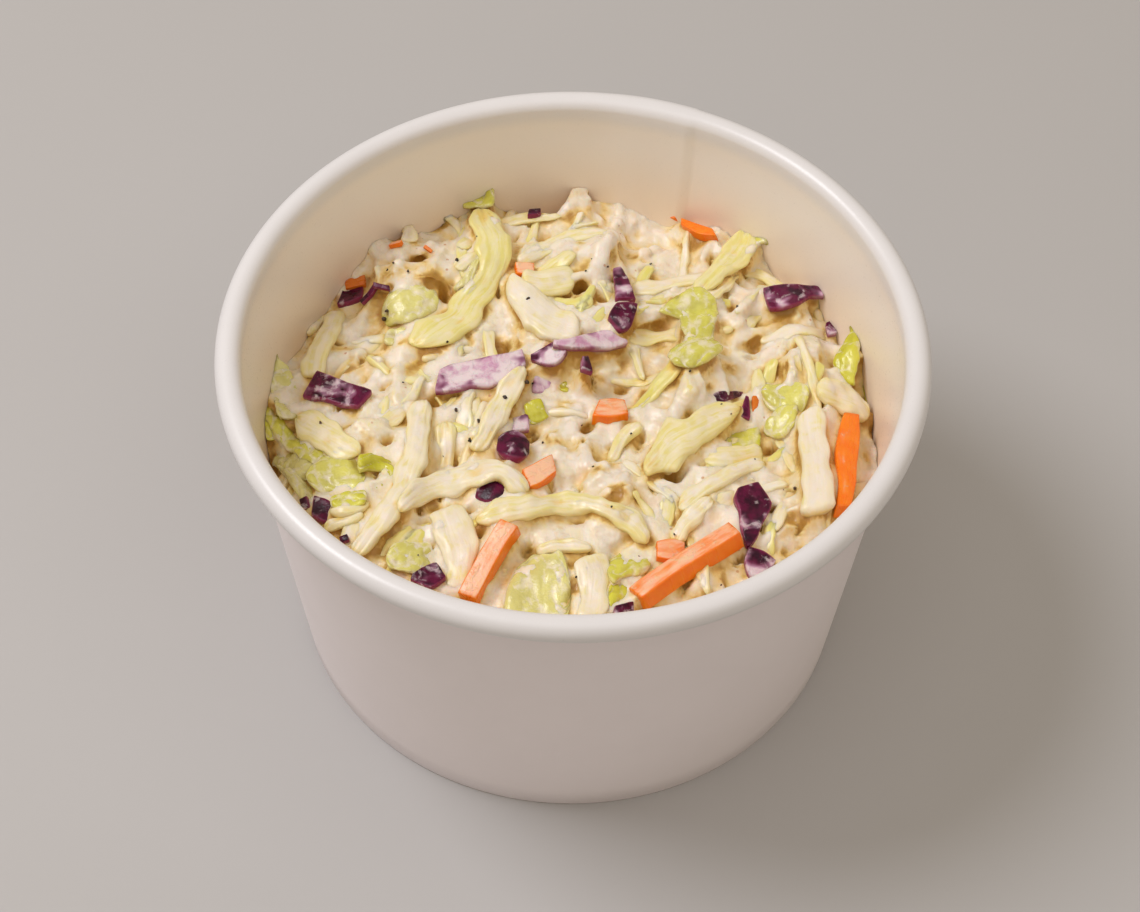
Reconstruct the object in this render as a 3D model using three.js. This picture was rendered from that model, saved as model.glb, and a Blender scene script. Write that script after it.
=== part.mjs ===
// A tub of coleslaw: a white rolled-rim paper food cup, its crimped-in base disc, and the heap of
// dressed shredded cabbage that fills it. Millimetres, +Z up, origin at the centre of the foot.
import * as THREE from "three";

// Driving dimensions of the cup.
const CUP_HEIGHT = 55.2; // foot to the top of the rolled rim
const RIM_RADIUS = 48.5; // outermost radius of the rolled rim
const CURL_RADIUS = 1.8; // outer radius of the rim's curl
const FOOT_RADIUS = 39.3; // outer radius of the wall where it stands
const WALL_TOP_RADIUS = 45.4; // outer radius of the wall under the curl
const BOARD = 0.45; // thickness of the coated paperboard
const CURL_END_DEG = -120; // where the curl's free edge stops, short of the wall
const CURL_STEP_DEG = 30; // facet angle of the curl
const HEM_HEIGHT = 6.0; // the wall's bottom edge, folded in and up
const HEM_THICKNESS = 2.0; // wall, slot and folded hem together
const CUP_AROUND = 72; // facets around the cup

// Driving dimensions of the base disc.
const BASE_TOP = 7.2; // the recessed disc's upper face
const SKIRT_BOTTOM = 1.0; // lower edge of the disc's turned-down skirt
const FIT_GAP = 0.3; // clearance between pieces that touch

// Driving dimensions of the heap.
const HEAP_SIDE_GAP = 0.35; // clearance to the wall
const FILL_EDGE = 35.6; // level of the heap at the wall
const FILL_CENTRE = 38.4; // level of the heap in the middle
const HEAP_AROUND = 96; // facets around the heap
const HEAP_RINGS = 24; // rings of facets over its top
const SHRED_COUNT = 64; // cabbage shreds that stand out of the heap
const SHRED_RISE = 3.2; // how far the tallest shred stands out
const SHRED_HALF_WIDTH = 4.2;
const SHRED_HALF_LENGTH = 13;
const DIP_DEPTH = 1.3; // the low hollows between the shreds
const DIP_PITCH = 13; // how far apart the hollows lie
const GOLDEN_ANGLE = Math.PI * (3 - Math.sqrt(5));

const CURL_CENTRE_RADIUS = RIM_RADIUS - CURL_RADIUS;
const CURL_CENTRE_Z = CUP_HEIGHT - CURL_RADIUS;
const WALL_TOP_Z = CUP_HEIGHT - 2 * CURL_RADIUS;
const WALL_SLOPE = (WALL_TOP_RADIUS - FOOT_RADIUS) / WALL_TOP_Z;

const rad = THREE.MathUtils.degToRad;
const wallOuter = (z) => FOOT_RADIUS + WALL_SLOPE * z;
const wallInner = (z) => wallOuter(z) - BOARD;

// Points on a circle round the curl's centre, from one angle to another.
function curlArc(radius, fromDeg, toDeg) {
  const steps = Math.round(Math.abs(toDeg - fromDeg) / CURL_STEP_DEG);
  const points = [];
  for (let i = 0; i <= steps; i++) {
    const a = rad(fromDeg + ((toDeg - fromDeg) * i) / steps);
    points.push([
      CURL_CENTRE_RADIUS + radius * Math.cos(a),
      CURL_CENTRE_Z + radius * Math.sin(a),
    ]);
  }
  return points;
}

// Turns a closed [radius, height] outline about the Z axis.
function turned(outline, around = CUP_AROUND) {
  const points = outline.map(([r, z]) => new THREE.Vector2(r, z));
  return new THREE.LatheGeometry(points, around).rotateX(Math.PI / 2);
}

function paperboard(name) {
  return new THREE.MeshStandardMaterial({
    name,
    color: 0xf1ede7,
    roughness: 0.55,
    metalness: 0,
  });
}

// The conical wall in one sheet: rolled outwards into the rim at the top, folded inwards at the foot.
function cupWall() {
  const hemInner = (z) => wallOuter(z) - HEM_THICKNESS;
  const hemOuter = (z) => hemInner(z) + BOARD;
  const outline = [
    [wallOuter(0), 0],
    ...curlArc(CURL_RADIUS - BOARD, 180, CURL_END_DEG),
    ...curlArc(CURL_RADIUS, CURL_END_DEG, 180),
    [wallInner(WALL_TOP_Z), WALL_TOP_Z],
    [wallInner(BOARD), BOARD],
    [hemOuter(BOARD), BOARD],
    [hemOuter(HEM_HEIGHT), HEM_HEIGHT],
    [hemInner(HEM_HEIGHT), HEM_HEIGHT],
    [hemInner(0), 0],
    [wallOuter(0), 0],
  ];
  const mesh = new THREE.Mesh(turned(outline), paperboard("wall_board"));
  mesh.name = "cup_wall";
  return mesh;
}

// The disc that closes the cup, with the skirt that stands in the hem.
function cupBase() {
  const skirtOuter = (z) => wallInner(z) - FIT_GAP;
  const skirtInner = (z) => skirtOuter(z) - BOARD;
  const underside = BASE_TOP - BOARD;
  const outline = [
    [0, underside],
    [skirtInner(underside), underside],
    [skirtInner(SKIRT_BOTTOM), SKIRT_BOTTOM],
    [skirtOuter(SKIRT_BOTTOM), SKIRT_BOTTOM],
    [skirtOuter(BASE_TOP), BASE_TOP],
    [0, BASE_TOP],
  ];
  const mesh = new THREE.Mesh(turned(outline), paperboard("base_board"));
  mesh.name = "cup_base";
  return mesh;
}

// A repeatable number from 0 to 1 for each whole number and channel.
function scatter(i, channel) {
  const v = Math.sin(i * 12.9898 + channel * 78.233) * 43758.5453;
  return v - Math.floor(v);
}

// The shreds lie on a sunflower spiral, so that they cover the disc evenly, each turned its own way.
const shreds = Array.from({ length: SHRED_COUNT }, (_, i) => {
  const reach = wallInner(FILL_EDGE) * Math.sqrt((i + 0.5) / SHRED_COUNT);
  const turn = scatter(i, 2) * Math.PI;
  return {
    x: reach * Math.cos(i * GOLDEN_ANGLE),
    y: reach * Math.sin(i * GOLDEN_ANGLE),
    along: [Math.cos(turn), Math.sin(turn)],
    rise: SHRED_RISE * (0.35 + 0.65 * scatter(i, 3)),
    halfLength: SHRED_HALF_LENGTH * (0.6 + 0.4 * scatter(i, 4)),
    halfWidth: SHRED_HALF_WIDTH * (0.7 + 0.3 * scatter(i, 5)),
  };
});

// How far one shred lifts the surface at a place: a rounded back that fades at its two ends.
function shredLift(shred, x, y) {
  const dx = x - shred.x;
  const dy = y - shred.y;
  const u = (dx * shred.along[0] + dy * shred.along[1]) / shred.halfLength;
  const v = (dy * shred.along[0] - dx * shred.along[1]) / shred.halfWidth;
  if (Math.abs(u) >= 1 || Math.abs(v) >= 1) return 0;
  return shred.rise * (1 - u ** 4) * (1 - v * v);
}

// The uneven surface of the heap.
function heapLevel(x, y) {
  const out = Math.hypot(x, y) / wallInner(FILL_EDGE);
  const mound = FILL_EDGE + (FILL_CENTRE - FILL_EDGE) * (1 - out * out);
  const k = (2 * Math.PI) / DIP_PITCH;
  const dips = 0.5 * DIP_DEPTH * (Math.sin(k * x + Math.cos(k * y)) - 1);
  return mound + dips + Math.max(...shreds.map((s) => shredLift(s, x, y)));
}

// The heap fills the cup from the base disc up to its own uneven surface.
function slaw() {
  const bottom = BASE_TOP + FIT_GAP;
  const side = (z) => wallInner(z) - HEAP_SIDE_GAP;
  const edge = side(FILL_EDGE);
  const outline = [
    [0, bottom],
    [side(bottom), bottom],
  ];
  for (let ring = HEAP_RINGS; ring >= 0; ring--)
    outline.push([(edge * ring) / HEAP_RINGS, FILL_EDGE]);
  const geometry = turned(outline, HEAP_AROUND);
  const place = geometry.attributes.position;
  for (let i = 0; i < place.count; i++) {
    if (place.getZ(i) < FILL_EDGE - 1) continue; // the flat bottom
    const x = place.getX(i);
    const y = place.getY(i);
    const z = heapLevel(x, y);
    const out = Math.hypot(x, y);
    // The outermost ring follows the sloping wall.
    const fit = out > edge - 0.01 ? side(z) / out : 1;
    place.setXYZ(i, x * fit, y * fit, z);
  }
  geometry.computeVertexNormals();
  const mesh = new THREE.Mesh(
    geometry,
    new THREE.MeshStandardMaterial({
      name: "dressed_cabbage",
      color: 0xebdcb9,
      roughness: 0.45,
      metalness: 0,
    }),
  );
  mesh.name = "slaw";
  return mesh;
}

const tub = new THREE.Group();
tub.name = "coleslaw_tub";
tub.add(cupWall(), cupBase(), slaw());

export default tub;
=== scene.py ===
"""Looks of a tub of coleslaw: a white rolled-rim paper cup heaped with dressed, shredded cabbage.

The heap is laid piece by piece. Each shred, leaf, stick and chip comes to rest on what already lies
there, so the whole heap holds up from every side. The pale, well-dressed pieces then run together
into one creamy mass, and the crisper ones stay pieces of their own on top of it.
"""

import math
from dataclasses import dataclass
from functools import lru_cache

import bmesh
import bpy
import numpy as np
from bpy.props import FloatProperty, FloatVectorProperty, IntProperty, PointerProperty
from mathutils import Matrix, Vector
from mathutils.kdtree import KDTree


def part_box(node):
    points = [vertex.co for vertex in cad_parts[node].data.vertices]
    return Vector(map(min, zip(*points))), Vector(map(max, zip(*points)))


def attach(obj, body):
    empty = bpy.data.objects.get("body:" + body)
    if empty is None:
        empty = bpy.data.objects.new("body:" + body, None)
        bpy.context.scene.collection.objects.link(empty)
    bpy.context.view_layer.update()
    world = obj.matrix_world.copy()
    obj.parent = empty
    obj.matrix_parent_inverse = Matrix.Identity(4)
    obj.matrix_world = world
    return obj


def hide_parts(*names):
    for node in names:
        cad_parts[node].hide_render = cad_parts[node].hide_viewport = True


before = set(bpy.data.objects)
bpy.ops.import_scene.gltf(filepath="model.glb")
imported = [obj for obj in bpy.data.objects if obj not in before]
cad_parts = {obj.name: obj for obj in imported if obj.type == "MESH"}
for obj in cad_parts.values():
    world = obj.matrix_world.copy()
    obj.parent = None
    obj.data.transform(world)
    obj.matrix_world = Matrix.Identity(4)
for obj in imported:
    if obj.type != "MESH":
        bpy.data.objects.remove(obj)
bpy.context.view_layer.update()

bl_info = {
    "name": "Coleslaw Tub",
    "version": (1, 0, 0),
    "blender": (4, 5, 0),
    "location": "View3D > Sidebar > Coleslaw",
    "description": "Builds a white paper tub heaped with creamy coleslaw",
    "category": "Object",
}

BODY = "root"
MM = 0.001
TAU = 2 * math.pi

# The cup, in millimetres.
CUP_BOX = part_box("cup_wall")
CUP_HEIGHT = CUP_BOX[1][2] / MM
RIM_RADIUS = CUP_BOX[1][0] / MM
FOOT_RADIUS = 39.3
WALL_TOP_RADIUS = 45.4
CURL_RADIUS = 1.8
CURL_END_DEG = -120
BOARD = 0.45
HEM_HEIGHT = 6.0
HEM_THICKNESS = 2.0
FOOT_ROUND = 0.25  # rounding of the fold that the cup stands on
BASE_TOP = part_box("cup_base")[1][2] / MM
SKIRT_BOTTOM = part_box("cup_base")[0][2] / MM
FIT_GAP = 0.3
WALL_TOP = CUP_HEIGHT - 2 * CURL_RADIUS
WALL_SLOPE = (WALL_TOP_RADIUS - FOOT_RADIUS) / WALL_TOP
CURL_CENTRE = (RIM_RADIUS - CURL_RADIUS, CUP_HEIGHT - CURL_RADIUS)

# The camera, in millimetres, degrees and the pixels of its 1140 x 912 frame.
FRAME_WIDTH = 1140
FRAME_HEIGHT = 912
FOCAL_PIXELS = 2900
SENSOR_WIDTH = 36
EYE = np.array((-0.216, -257.131, 351.115))
PITCH = math.radians(51.337)
ROLL = math.radians(-0.956)

# The heap, in millimetres.
CELL = 0.4  # grid pitch of the map of the heap's top
BED_FLOOR = 28.5  # underside of the bed of shreds, inside the core
BED_EDGE = 31.8  # mean level of the bed's top at the wall
BED_CENTRE = 33.4  # and in the middle
PIXELS_PER_MM = 7.4  # of the heap in the frame
WALL_GAP = 0.04  # the food stops this far short of the wall
STEP = 0.8  # spacing of the points along a laid piece
HEAP_LIMIT = CUP_HEIGHT - 6  # nothing in the heap stands higher
SIGHT_STEP = 0.1  # how finely a sight line is followed down to the heap
SKY_TURNS = 12  # ways in which the heap round a point is looked at
SKY_REACHES = (0.5, 0.9, 1.4, 2.0, 3.0, 4.5)  # and how far off


def wall_outer(z):
    """Outer radius of the cup's wall at a height."""
    return FOOT_RADIUS + WALL_SLOPE * z


def wall_inner(z):
    """Inner radius of the cup's wall at a height."""
    return wall_outer(z) - BOARD


def hem_inner(z):
    """Inner radius of the hem that is folded in at the wall's foot."""
    return wall_outer(z) - HEM_THICKNESS


def skirt_outer(z):
    """Outer radius of the base's skirt."""
    return wall_inner(z) - FIT_GAP


def skirt_inner(z):
    """Inner radius of the base's skirt."""
    return skirt_outer(z) - BOARD


def core_side(z):
    """Radius of the core of slaw."""
    return wall_inner(z) - WALL_GAP - 0.2


# ---------------------------------------------------------------- camera


def camera_axes():
    """The camera's right, up and forward directions."""
    up = np.array((0, math.sin(PITCH), math.cos(PITCH)))
    right = np.array((1.0, 0, 0))
    forward = np.array((0, math.cos(PITCH), -math.sin(PITCH)))
    c, s = math.cos(ROLL), math.sin(ROLL)
    return c * right - s * up, s * right + c * up, forward


def sight_lines(seen):
    """Directions from the eye through places in the frame."""
    right, up, forward = camera_axes()
    seen = np.asarray(seen, float)
    x = (seen[:, :1] - FRAME_WIDTH / 2) / FOCAL_PIXELS
    y = (FRAME_HEIGHT / 2 - seen[:, 1:]) / FOCAL_PIXELS
    return x * right + y * up + forward


# ---------------------------------------------------------------- small mathematics


def waves(points, length, seed, count=7):
    """A smooth random field of about -1 to 1 at points, with features of a given length."""
    rng = np.random.default_rng(seed)
    ways = rng.normal(size=(count, points.shape[1]))
    ways /= np.linalg.norm(ways, axis=1, keepdims=True)
    pitch = length * rng.uniform(0.7, 1.6, count)
    phase = rng.uniform(0, TAU, count)
    return np.sin(points @ (ways * (TAU / pitch)[:, None]).T + phase).sum(axis=1) / math.sqrt(2 * count)


def smooth(values, times):
    """Evens out a row of numbers, with its ends left free."""
    values = np.array(values, float)
    for _ in range(times):
        inner = (values[:-2] + 2 * values[1:-1] + values[2:]) / 4
        values = np.concatenate(([(values[0] * 2 + values[1]) / 3], inner,
                                 [(values[-1] * 2 + values[-2]) / 3]))
    return values


def curve_through(points, spacing):
    """A smooth curve through a few points, as evenly spaced points and their share of the way."""
    points = np.asarray(points, float)
    ends = np.vstack((2 * points[0] - points[1], points, 2 * points[-1] - points[-2]))
    fine, share = [], []
    for k in range(len(points) - 1):
        a, b, c, d = ends[k : k + 4]
        t = np.linspace(0, 1, 12, endpoint=False)[:, None]
        fine.append(0.5 * (2 * b + (c - a) * t + (2 * a - 5 * b + 4 * c - d) * t**2
                           + (3 * b - a - 3 * c + d) * t**3))
        share.append((k + t[:, 0]) / (len(points) - 1))
    fine = np.vstack((*fine, points[-1]))
    share = np.concatenate((*share, [1.0]))
    along = route_lengths(fine)
    count = max(5, int(round(along[-1] / spacing)) + 1)
    at = np.linspace(0, along[-1], count)
    even = np.stack([np.interp(at, along, fine[:, k]) for k in range(fine.shape[1])], axis=1)
    return even, np.interp(at, along, share)


def spread(values, share):
    """Values given at even steps along a piece, read at each share of the way."""
    values = np.atleast_1d(np.asarray(values, float))
    if len(values) == 1:
        return np.full(len(share), values[0])
    return np.interp(share, np.linspace(0, 1, len(values)), values)


def route_lengths(points):
    """How far along a path each of its points is."""
    return np.concatenate(([0], np.cumsum(np.linalg.norm(np.diff(points, axis=0), axis=1))))


# ---------------------------------------------------------------- the heap's top


class HeapTop:
    """Heights of the heap's top on a square grid, raised as each piece is laid."""

    def __init__(self):
        self.reach = wall_inner(WALL_TOP)
        self.count = int(2 * self.reach / CELL) + 2
        line = np.arange(self.count) * CELL - self.reach
        self.x, self.y = np.meshgrid(line, line, indexing="ij")
        self.z = np.full_like(self.x, BED_FLOOR)
        self.carved = np.zeros_like(self.z)
        self.creamy = np.zeros_like(self.z)

    def cell(self, x, y):
        """Row and column of the cell at a place."""
        i = np.clip(np.rint((x + self.reach) / CELL), 0, self.count - 1)
        j = np.clip(np.rint((y + self.reach) / CELL), 0, self.count - 1)
        return i.astype(int), j.astype(int)

    def at(self, x, y):
        """Height of the top at places, held inside the wall."""
        out = np.maximum(np.hypot(x, y), 1e-9)
        inward = np.minimum(1, (wall_inner(BED_EDGE) - 0.5) / out)
        return self.z[self.cell(x * inward, y * inward)]

    def meet(self, rays):
        """How far along each sight line the top is met."""
        heights = np.arange(HEAP_LIMIT, BED_FLOOR, -SIGHT_STEP)
        reach = (heights[None, :] - EYE[2]) / rays[:, 2:]
        x = EYE[0] + rays[:, :1] * reach
        y = EYE[1] + rays[:, 1:2] * reach
        under = heights[None, :] <= self.at(x, y)
        first = np.argmax(under, axis=1)
        return reach[np.arange(len(rays)), first]

    def stamp(self, points):
        """Raises the top to the given points."""
        np.maximum.at(self.z, self.cell(points[:, 0], points[:, 1]), points[:, 2])

    def cream_over(self, piece):
        """Marks where a creamy piece lies, which the flat shreds leave free."""
        reach = piece.wide.max() / 2
        for x, y, _ in piece.middle:
            self.creamy[(self.x - x) ** 2 + (self.y - y) ** 2 < reach**2] = 1

    def settle(self):
        """Brings the top to the bed's own level, and gives how far each cell moved."""
        out = np.hypot(self.x, self.y) / wall_inner(BED_EDGE)
        inside = (out < 1).astype(float)
        mean = [sliding(sliding(m, 8, np.mean), 8, np.mean) for m in (self.z * inside, inside)]
        level = BED_EDGE + (BED_CENTRE - BED_EDGE) * np.clip(1 - out**2, 0, 1)
        moved = level - mean[0] / np.maximum(mean[1], 0.02)
        self.z += moved
        return moved

    def carve(self, rays, depth, radius, rng):
        """Lowers the top in short slits at the places that sight lines meet."""
        lowered = np.zeros_like(self.z)
        for x, y, _ in EYE + rays * self.meet(rays)[:, None]:
            way, across = heading(rng, np.array((x, y)), 0.5)
            along = (self.x - x) * way[0] + (self.y - y) * way[1]
            off = (self.x - x) * across[0] + (self.y - y) * across[1]
            lowered = np.maximum(lowered, depth * np.exp(-((along / 2.4) ** 2 + off**2) / radius**2))
        self.z -= lowered
        return lowered

    def shut_in(self, points):
        """How far what stands round each point hides the sky from it, from 0 to 1."""
        hidden = np.zeros(len(points))
        for turn in np.arange(SKY_TURNS) * TAU / SKY_TURNS:
            worst = np.zeros(len(points))
            for reach in SKY_REACHES:
                x = points[:, 0] + reach * math.cos(turn)
                y = points[:, 1] + reach * math.sin(turn)
                worst = np.maximum(worst, (self.at(x, y) - points[:, 2]) / reach)
            hidden += worst**2 / (1 + worst**2) / SKY_TURNS
        return hidden


def sliding(level, cells, pick):
    """The largest, smallest or mean height within a number of cells either way."""
    for axis in (0, 1):
        size = level.shape[axis]
        padded = np.pad(level, [(cells, cells) if a == axis else (0, 0) for a in (0, 1)], "edge")
        level = pick([np.take(padded, range(k, k + size), axis) for k in range(2 * cells + 1)], axis=0)
    return level


# ---------------------------------------------------------------- pieces of the salad


@dataclass(frozen=True)
class Kind:
    """How pieces of one kind are shaped."""

    square: float  # 1 for an oval section, towards 0 for a square one
    stiff: int  # how far it bridges the hollows under it
    ridges: float = 0.0  # height of the ridges along it, mm
    ridge_pitch: float = 1.0  # mm across
    channel: float = 0.0  # depth of the hollow along its upper side, mm
    crinkle: float = 0.0  # height of its crinkles, mm
    crinkle_length: float = 4.0
    warp: float = 0.0  # how far it is out of flat, mm
    lumps: float = 0.0  # unevenness of its skin, mm
    lump_length: float = 2.0
    end: float = 0.5  # how round its ends are, in half widths
    curl: float = 0.0  # how far its edges bend up, in half widths
    ragged: float = 0.06  # unevenness of its edges, as a share of its width
    nose: int = 5  # rings at each end
    around: int = 20
    pitch: float = 0.7  # spacing of the rings along it, mm


RIGID = 60  # pieces this stiff or stiffer stay straight
STAMP_PITCH = 0.3  # spacing of the points that raise the heap's top, mm
SOFT_PRESS = 0.5  # depth over which pieces are pressed back by the wall, mm

KINDS = {
    "shred": Kind(0.75, 16, ridges=0.12, ridge_pitch=0.95, channel=0.1, lumps=0.17, lump_length=2.4,
                  end=1.3, ragged=0.2, around=32, pitch=0.5),
    "slab": Kind(0.65, 20, ridges=0.07, ridge_pitch=1.3, lumps=0.18, lump_length=2.4, ragged=0.14,
                 around=32, pitch=0.5),
    "leaf": Kind(0.8, 6, ridges=0.05, ridge_pitch=1.2, crinkle=0.22, crinkle_length=3.0, warp=0.35,
                 lumps=0.12, lump_length=1.3, end=0.35, curl=0.06, ragged=0.22, around=40, pitch=0.4),
    "red": Kind(0.4, 50, warp=0.22, lumps=0.05, end=0.12, curl=0.1, around=24, pitch=0.5),
    "carrot": Kind(0.22, 90, ridges=0.015, ridge_pitch=0.7, lumps=0.04, lump_length=3.4, end=0.08,
                   ragged=0.02, around=28),
    "cream": Kind(0.85, 5, lumps=0.24, lump_length=2.2, end=0.9, ragged=0.14),
    "crumb": Kind(0.8, 2, lumps=0.14, lump_length=1.6, end=0.8, ragged=0.14),
    "flake": Kind(0.75, 4, ridges=0.1, ridge_pitch=0.9, lumps=0.14, lump_length=1.8, end=0.9, channel=0.06,
                  warp=0.12, curl=0.06, ragged=0.26, nose=4, around=16, pitch=0.8),
    "thread": Kind(0.9, 3, ridges=0.05, ridge_pitch=0.8, channel=0.06, lumps=0.08, lump_length=1.8, end=0.7,
                   ragged=0.14, nose=3, around=10, pitch=0.9),
}


@dataclass(frozen=True)
class Strip:
    """One piece of the salad: what it is, where it shows in the frame, and how big it is in mm."""

    kind: str
    seen: tuple  # places along its middle
    wide: object  # its width, one number or several along it
    thick: object = 1.6
    # For a carrot, tint sets how far painted shade browns it.
    tint: float = 0.2  # 0 cream white, 1 leaf green
    coat: float = 0.5  # how much dressing is on it
    up: object = 0.0  # how far it stands off what carries it
    bank: float = 0.0  # how far it leans over sideways, degrees
    crisp: bool = True  # keeps its own edges, not run together with the mass


@dataclass
class Laid:
    """A piece at rest: its rings' middles and directions, and the strip that it came from."""

    strip: Strip
    middle: np.ndarray
    side: np.ndarray
    over: np.ndarray
    wide: np.ndarray
    thick: np.ndarray
    seed: int


def rest_heights(top, places, side, wide, thick, stiff):
    """Heights of a piece's middle when it lies along places on the heap's top, and how the top slopes."""
    across = np.linspace(-0.4, 0.4, 5)[None, :, None]
    under = places[:, None, :2] + side[:, None, :2] * wide[:, None, None] * across
    level = top.at(under[..., 0], under[..., 1])
    support = 0.45 * level.max(axis=1) + 0.55 * level.mean(axis=1) + 0.3 * thick
    height = support.copy()
    for _ in range(stiff):
        height[1:-1] = np.maximum(support[1:-1] - 0.3, (height[:-2] + height[2:]) / 2)
    slope = np.clip((level[:, -1] - level[:, 0]) / (0.8 * np.maximum(wide, 0.5)), -0.6, 0.6)
    if stiff >= RIGID:
        share = np.arange(len(height))
        return np.polyval(np.polyfit(share, height, 1), share), np.full(len(height), slope.mean())
    return smooth(height, 3), smooth(slope, 4)


def directions(middle):
    """Level sideways directions along a path."""
    along = np.gradient(middle, axis=0)
    side = np.stack((along[:, 1], -along[:, 0], np.zeros(len(along))), axis=1)
    return side / np.maximum(np.linalg.norm(side, axis=1, keepdims=True), 1e-9)


def finish_route(strip, middle, side, wide, slope, share, seed):
    """Turns a path into a laid piece that leans with the ground under it."""
    along = np.gradient(middle, axis=0)
    over = np.cross(side, along)
    over /= np.maximum(np.linalg.norm(over, axis=1, keepdims=True), 1e-9)
    firm = len(strip.seen) and len(strip.seen[0]) == 4
    lean = np.arctan(slope * (0.4 if firm else 0.8)) + math.radians(strip.bank)
    c, s = np.cos(lean)[:, None], np.sin(lean)[:, None]
    return Laid(strip, middle, c * side + s * over, c * over - s * side, wide, spread(strip.thick, share),
                seed)


def on_level(rays, height):
    """Where sight lines come down to a height."""
    return EYE + rays * ((height - EYE[2]) / rays[:, 2])[:, None]


def lay_seen(top, strip, seed):
    """Lays a piece so that it shows at its places in the frame and rests on the heap."""
    edged = len(strip.seen[0]) == 4
    seen, share = curve_through(strip.seen, STEP * PIXELS_PER_MM * (1.4 if edged else 1))
    near, far = sight_lines(seen[:, :2]), sight_lines(seen[:, -2:])
    thick, raised = spread(strip.thick, share), spread(strip.up, share)
    rays = (near + far) / 2
    height = EYE[2] + rays[:, 2] * smooth(top.meet(rays), 6)
    for _ in range(3):
        a, b = on_level(near, height), on_level(far, height)
        middle = (a + b) / 2
        side, wide = directions(middle), spread(strip.wide, share)
        if edged:
            across = a - b
            wide = np.maximum(np.linalg.norm(across, axis=1), 0.3)
            across /= wide[:, None]
            side = across * (1 if (across * side).sum() > 0 else -1)
        rest, slope = rest_heights(top, middle, side, wide, thick, KINDS[strip.kind].stiff)
        height = rest + raised
    middle = (on_level(near, height) + on_level(far, height)) / 2
    return finish_route(strip, middle, side, wide, slope, share, seed)


def lay_anywhere(top, strip, path, seed):
    """Lays a piece along a path seen from above."""
    flat, share = curve_through(path, STEP)
    middle = np.column_stack((flat, np.zeros(len(flat))))
    wide, thick = spread(strip.wide, share), spread(strip.thick, share)
    side = directions(middle)
    height, slope = rest_heights(top, middle, side, wide, thick, KINDS[strip.kind].stiff)
    middle[:, 2] = height + spread(strip.up, share)
    return finish_route(strip, middle, side, wide, slope, share, seed)


def stamp_piece(top, laid):
    """Raises the heap's top to the upper side of a laid piece."""
    count = len(laid.middle)
    at = np.linspace(0, count - 1, int((count - 1) * STEP / STAMP_PITCH) + 2)
    index = np.arange(count)

    def between(rows):
        return np.stack([np.interp(at, index, rows[:, k]) for k in range(3)], axis=1)

    middle, side, over = between(laid.middle), between(laid.side), between(laid.over)
    wide, thick = np.interp(at, index, laid.wide), np.interp(at, index, laid.thick)
    across = np.linspace(-0.95, 0.95, int(wide.max() / STAMP_PITCH) + 2)
    crown = np.sqrt(1 - across**2)
    points = (middle[:, None] + side[:, None] * (across[None, :, None] * wide[:, None, None] / 2)
              + over[:, None] * (crown[None, :, None] * thick[:, None, None] / 2))
    top.stamp(hold_inside(points.reshape(-1, 3)))


def hold_inside(points):
    """Presses points that would cross the cup's wall back against its inner side."""
    points = np.array(points)
    out = np.maximum(np.hypot(points[:, 0], points[:, 1]), 1e-9)
    limit = wall_inner(points[:, 2]) - WALL_GAP
    over = out - (limit - SOFT_PRESS)
    pressed = np.where(over > 0, limit - SOFT_PRESS * np.exp(-3 * over / SOFT_PRESS), out)
    points[:, :2] *= (pressed / out)[:, None]
    return points


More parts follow.
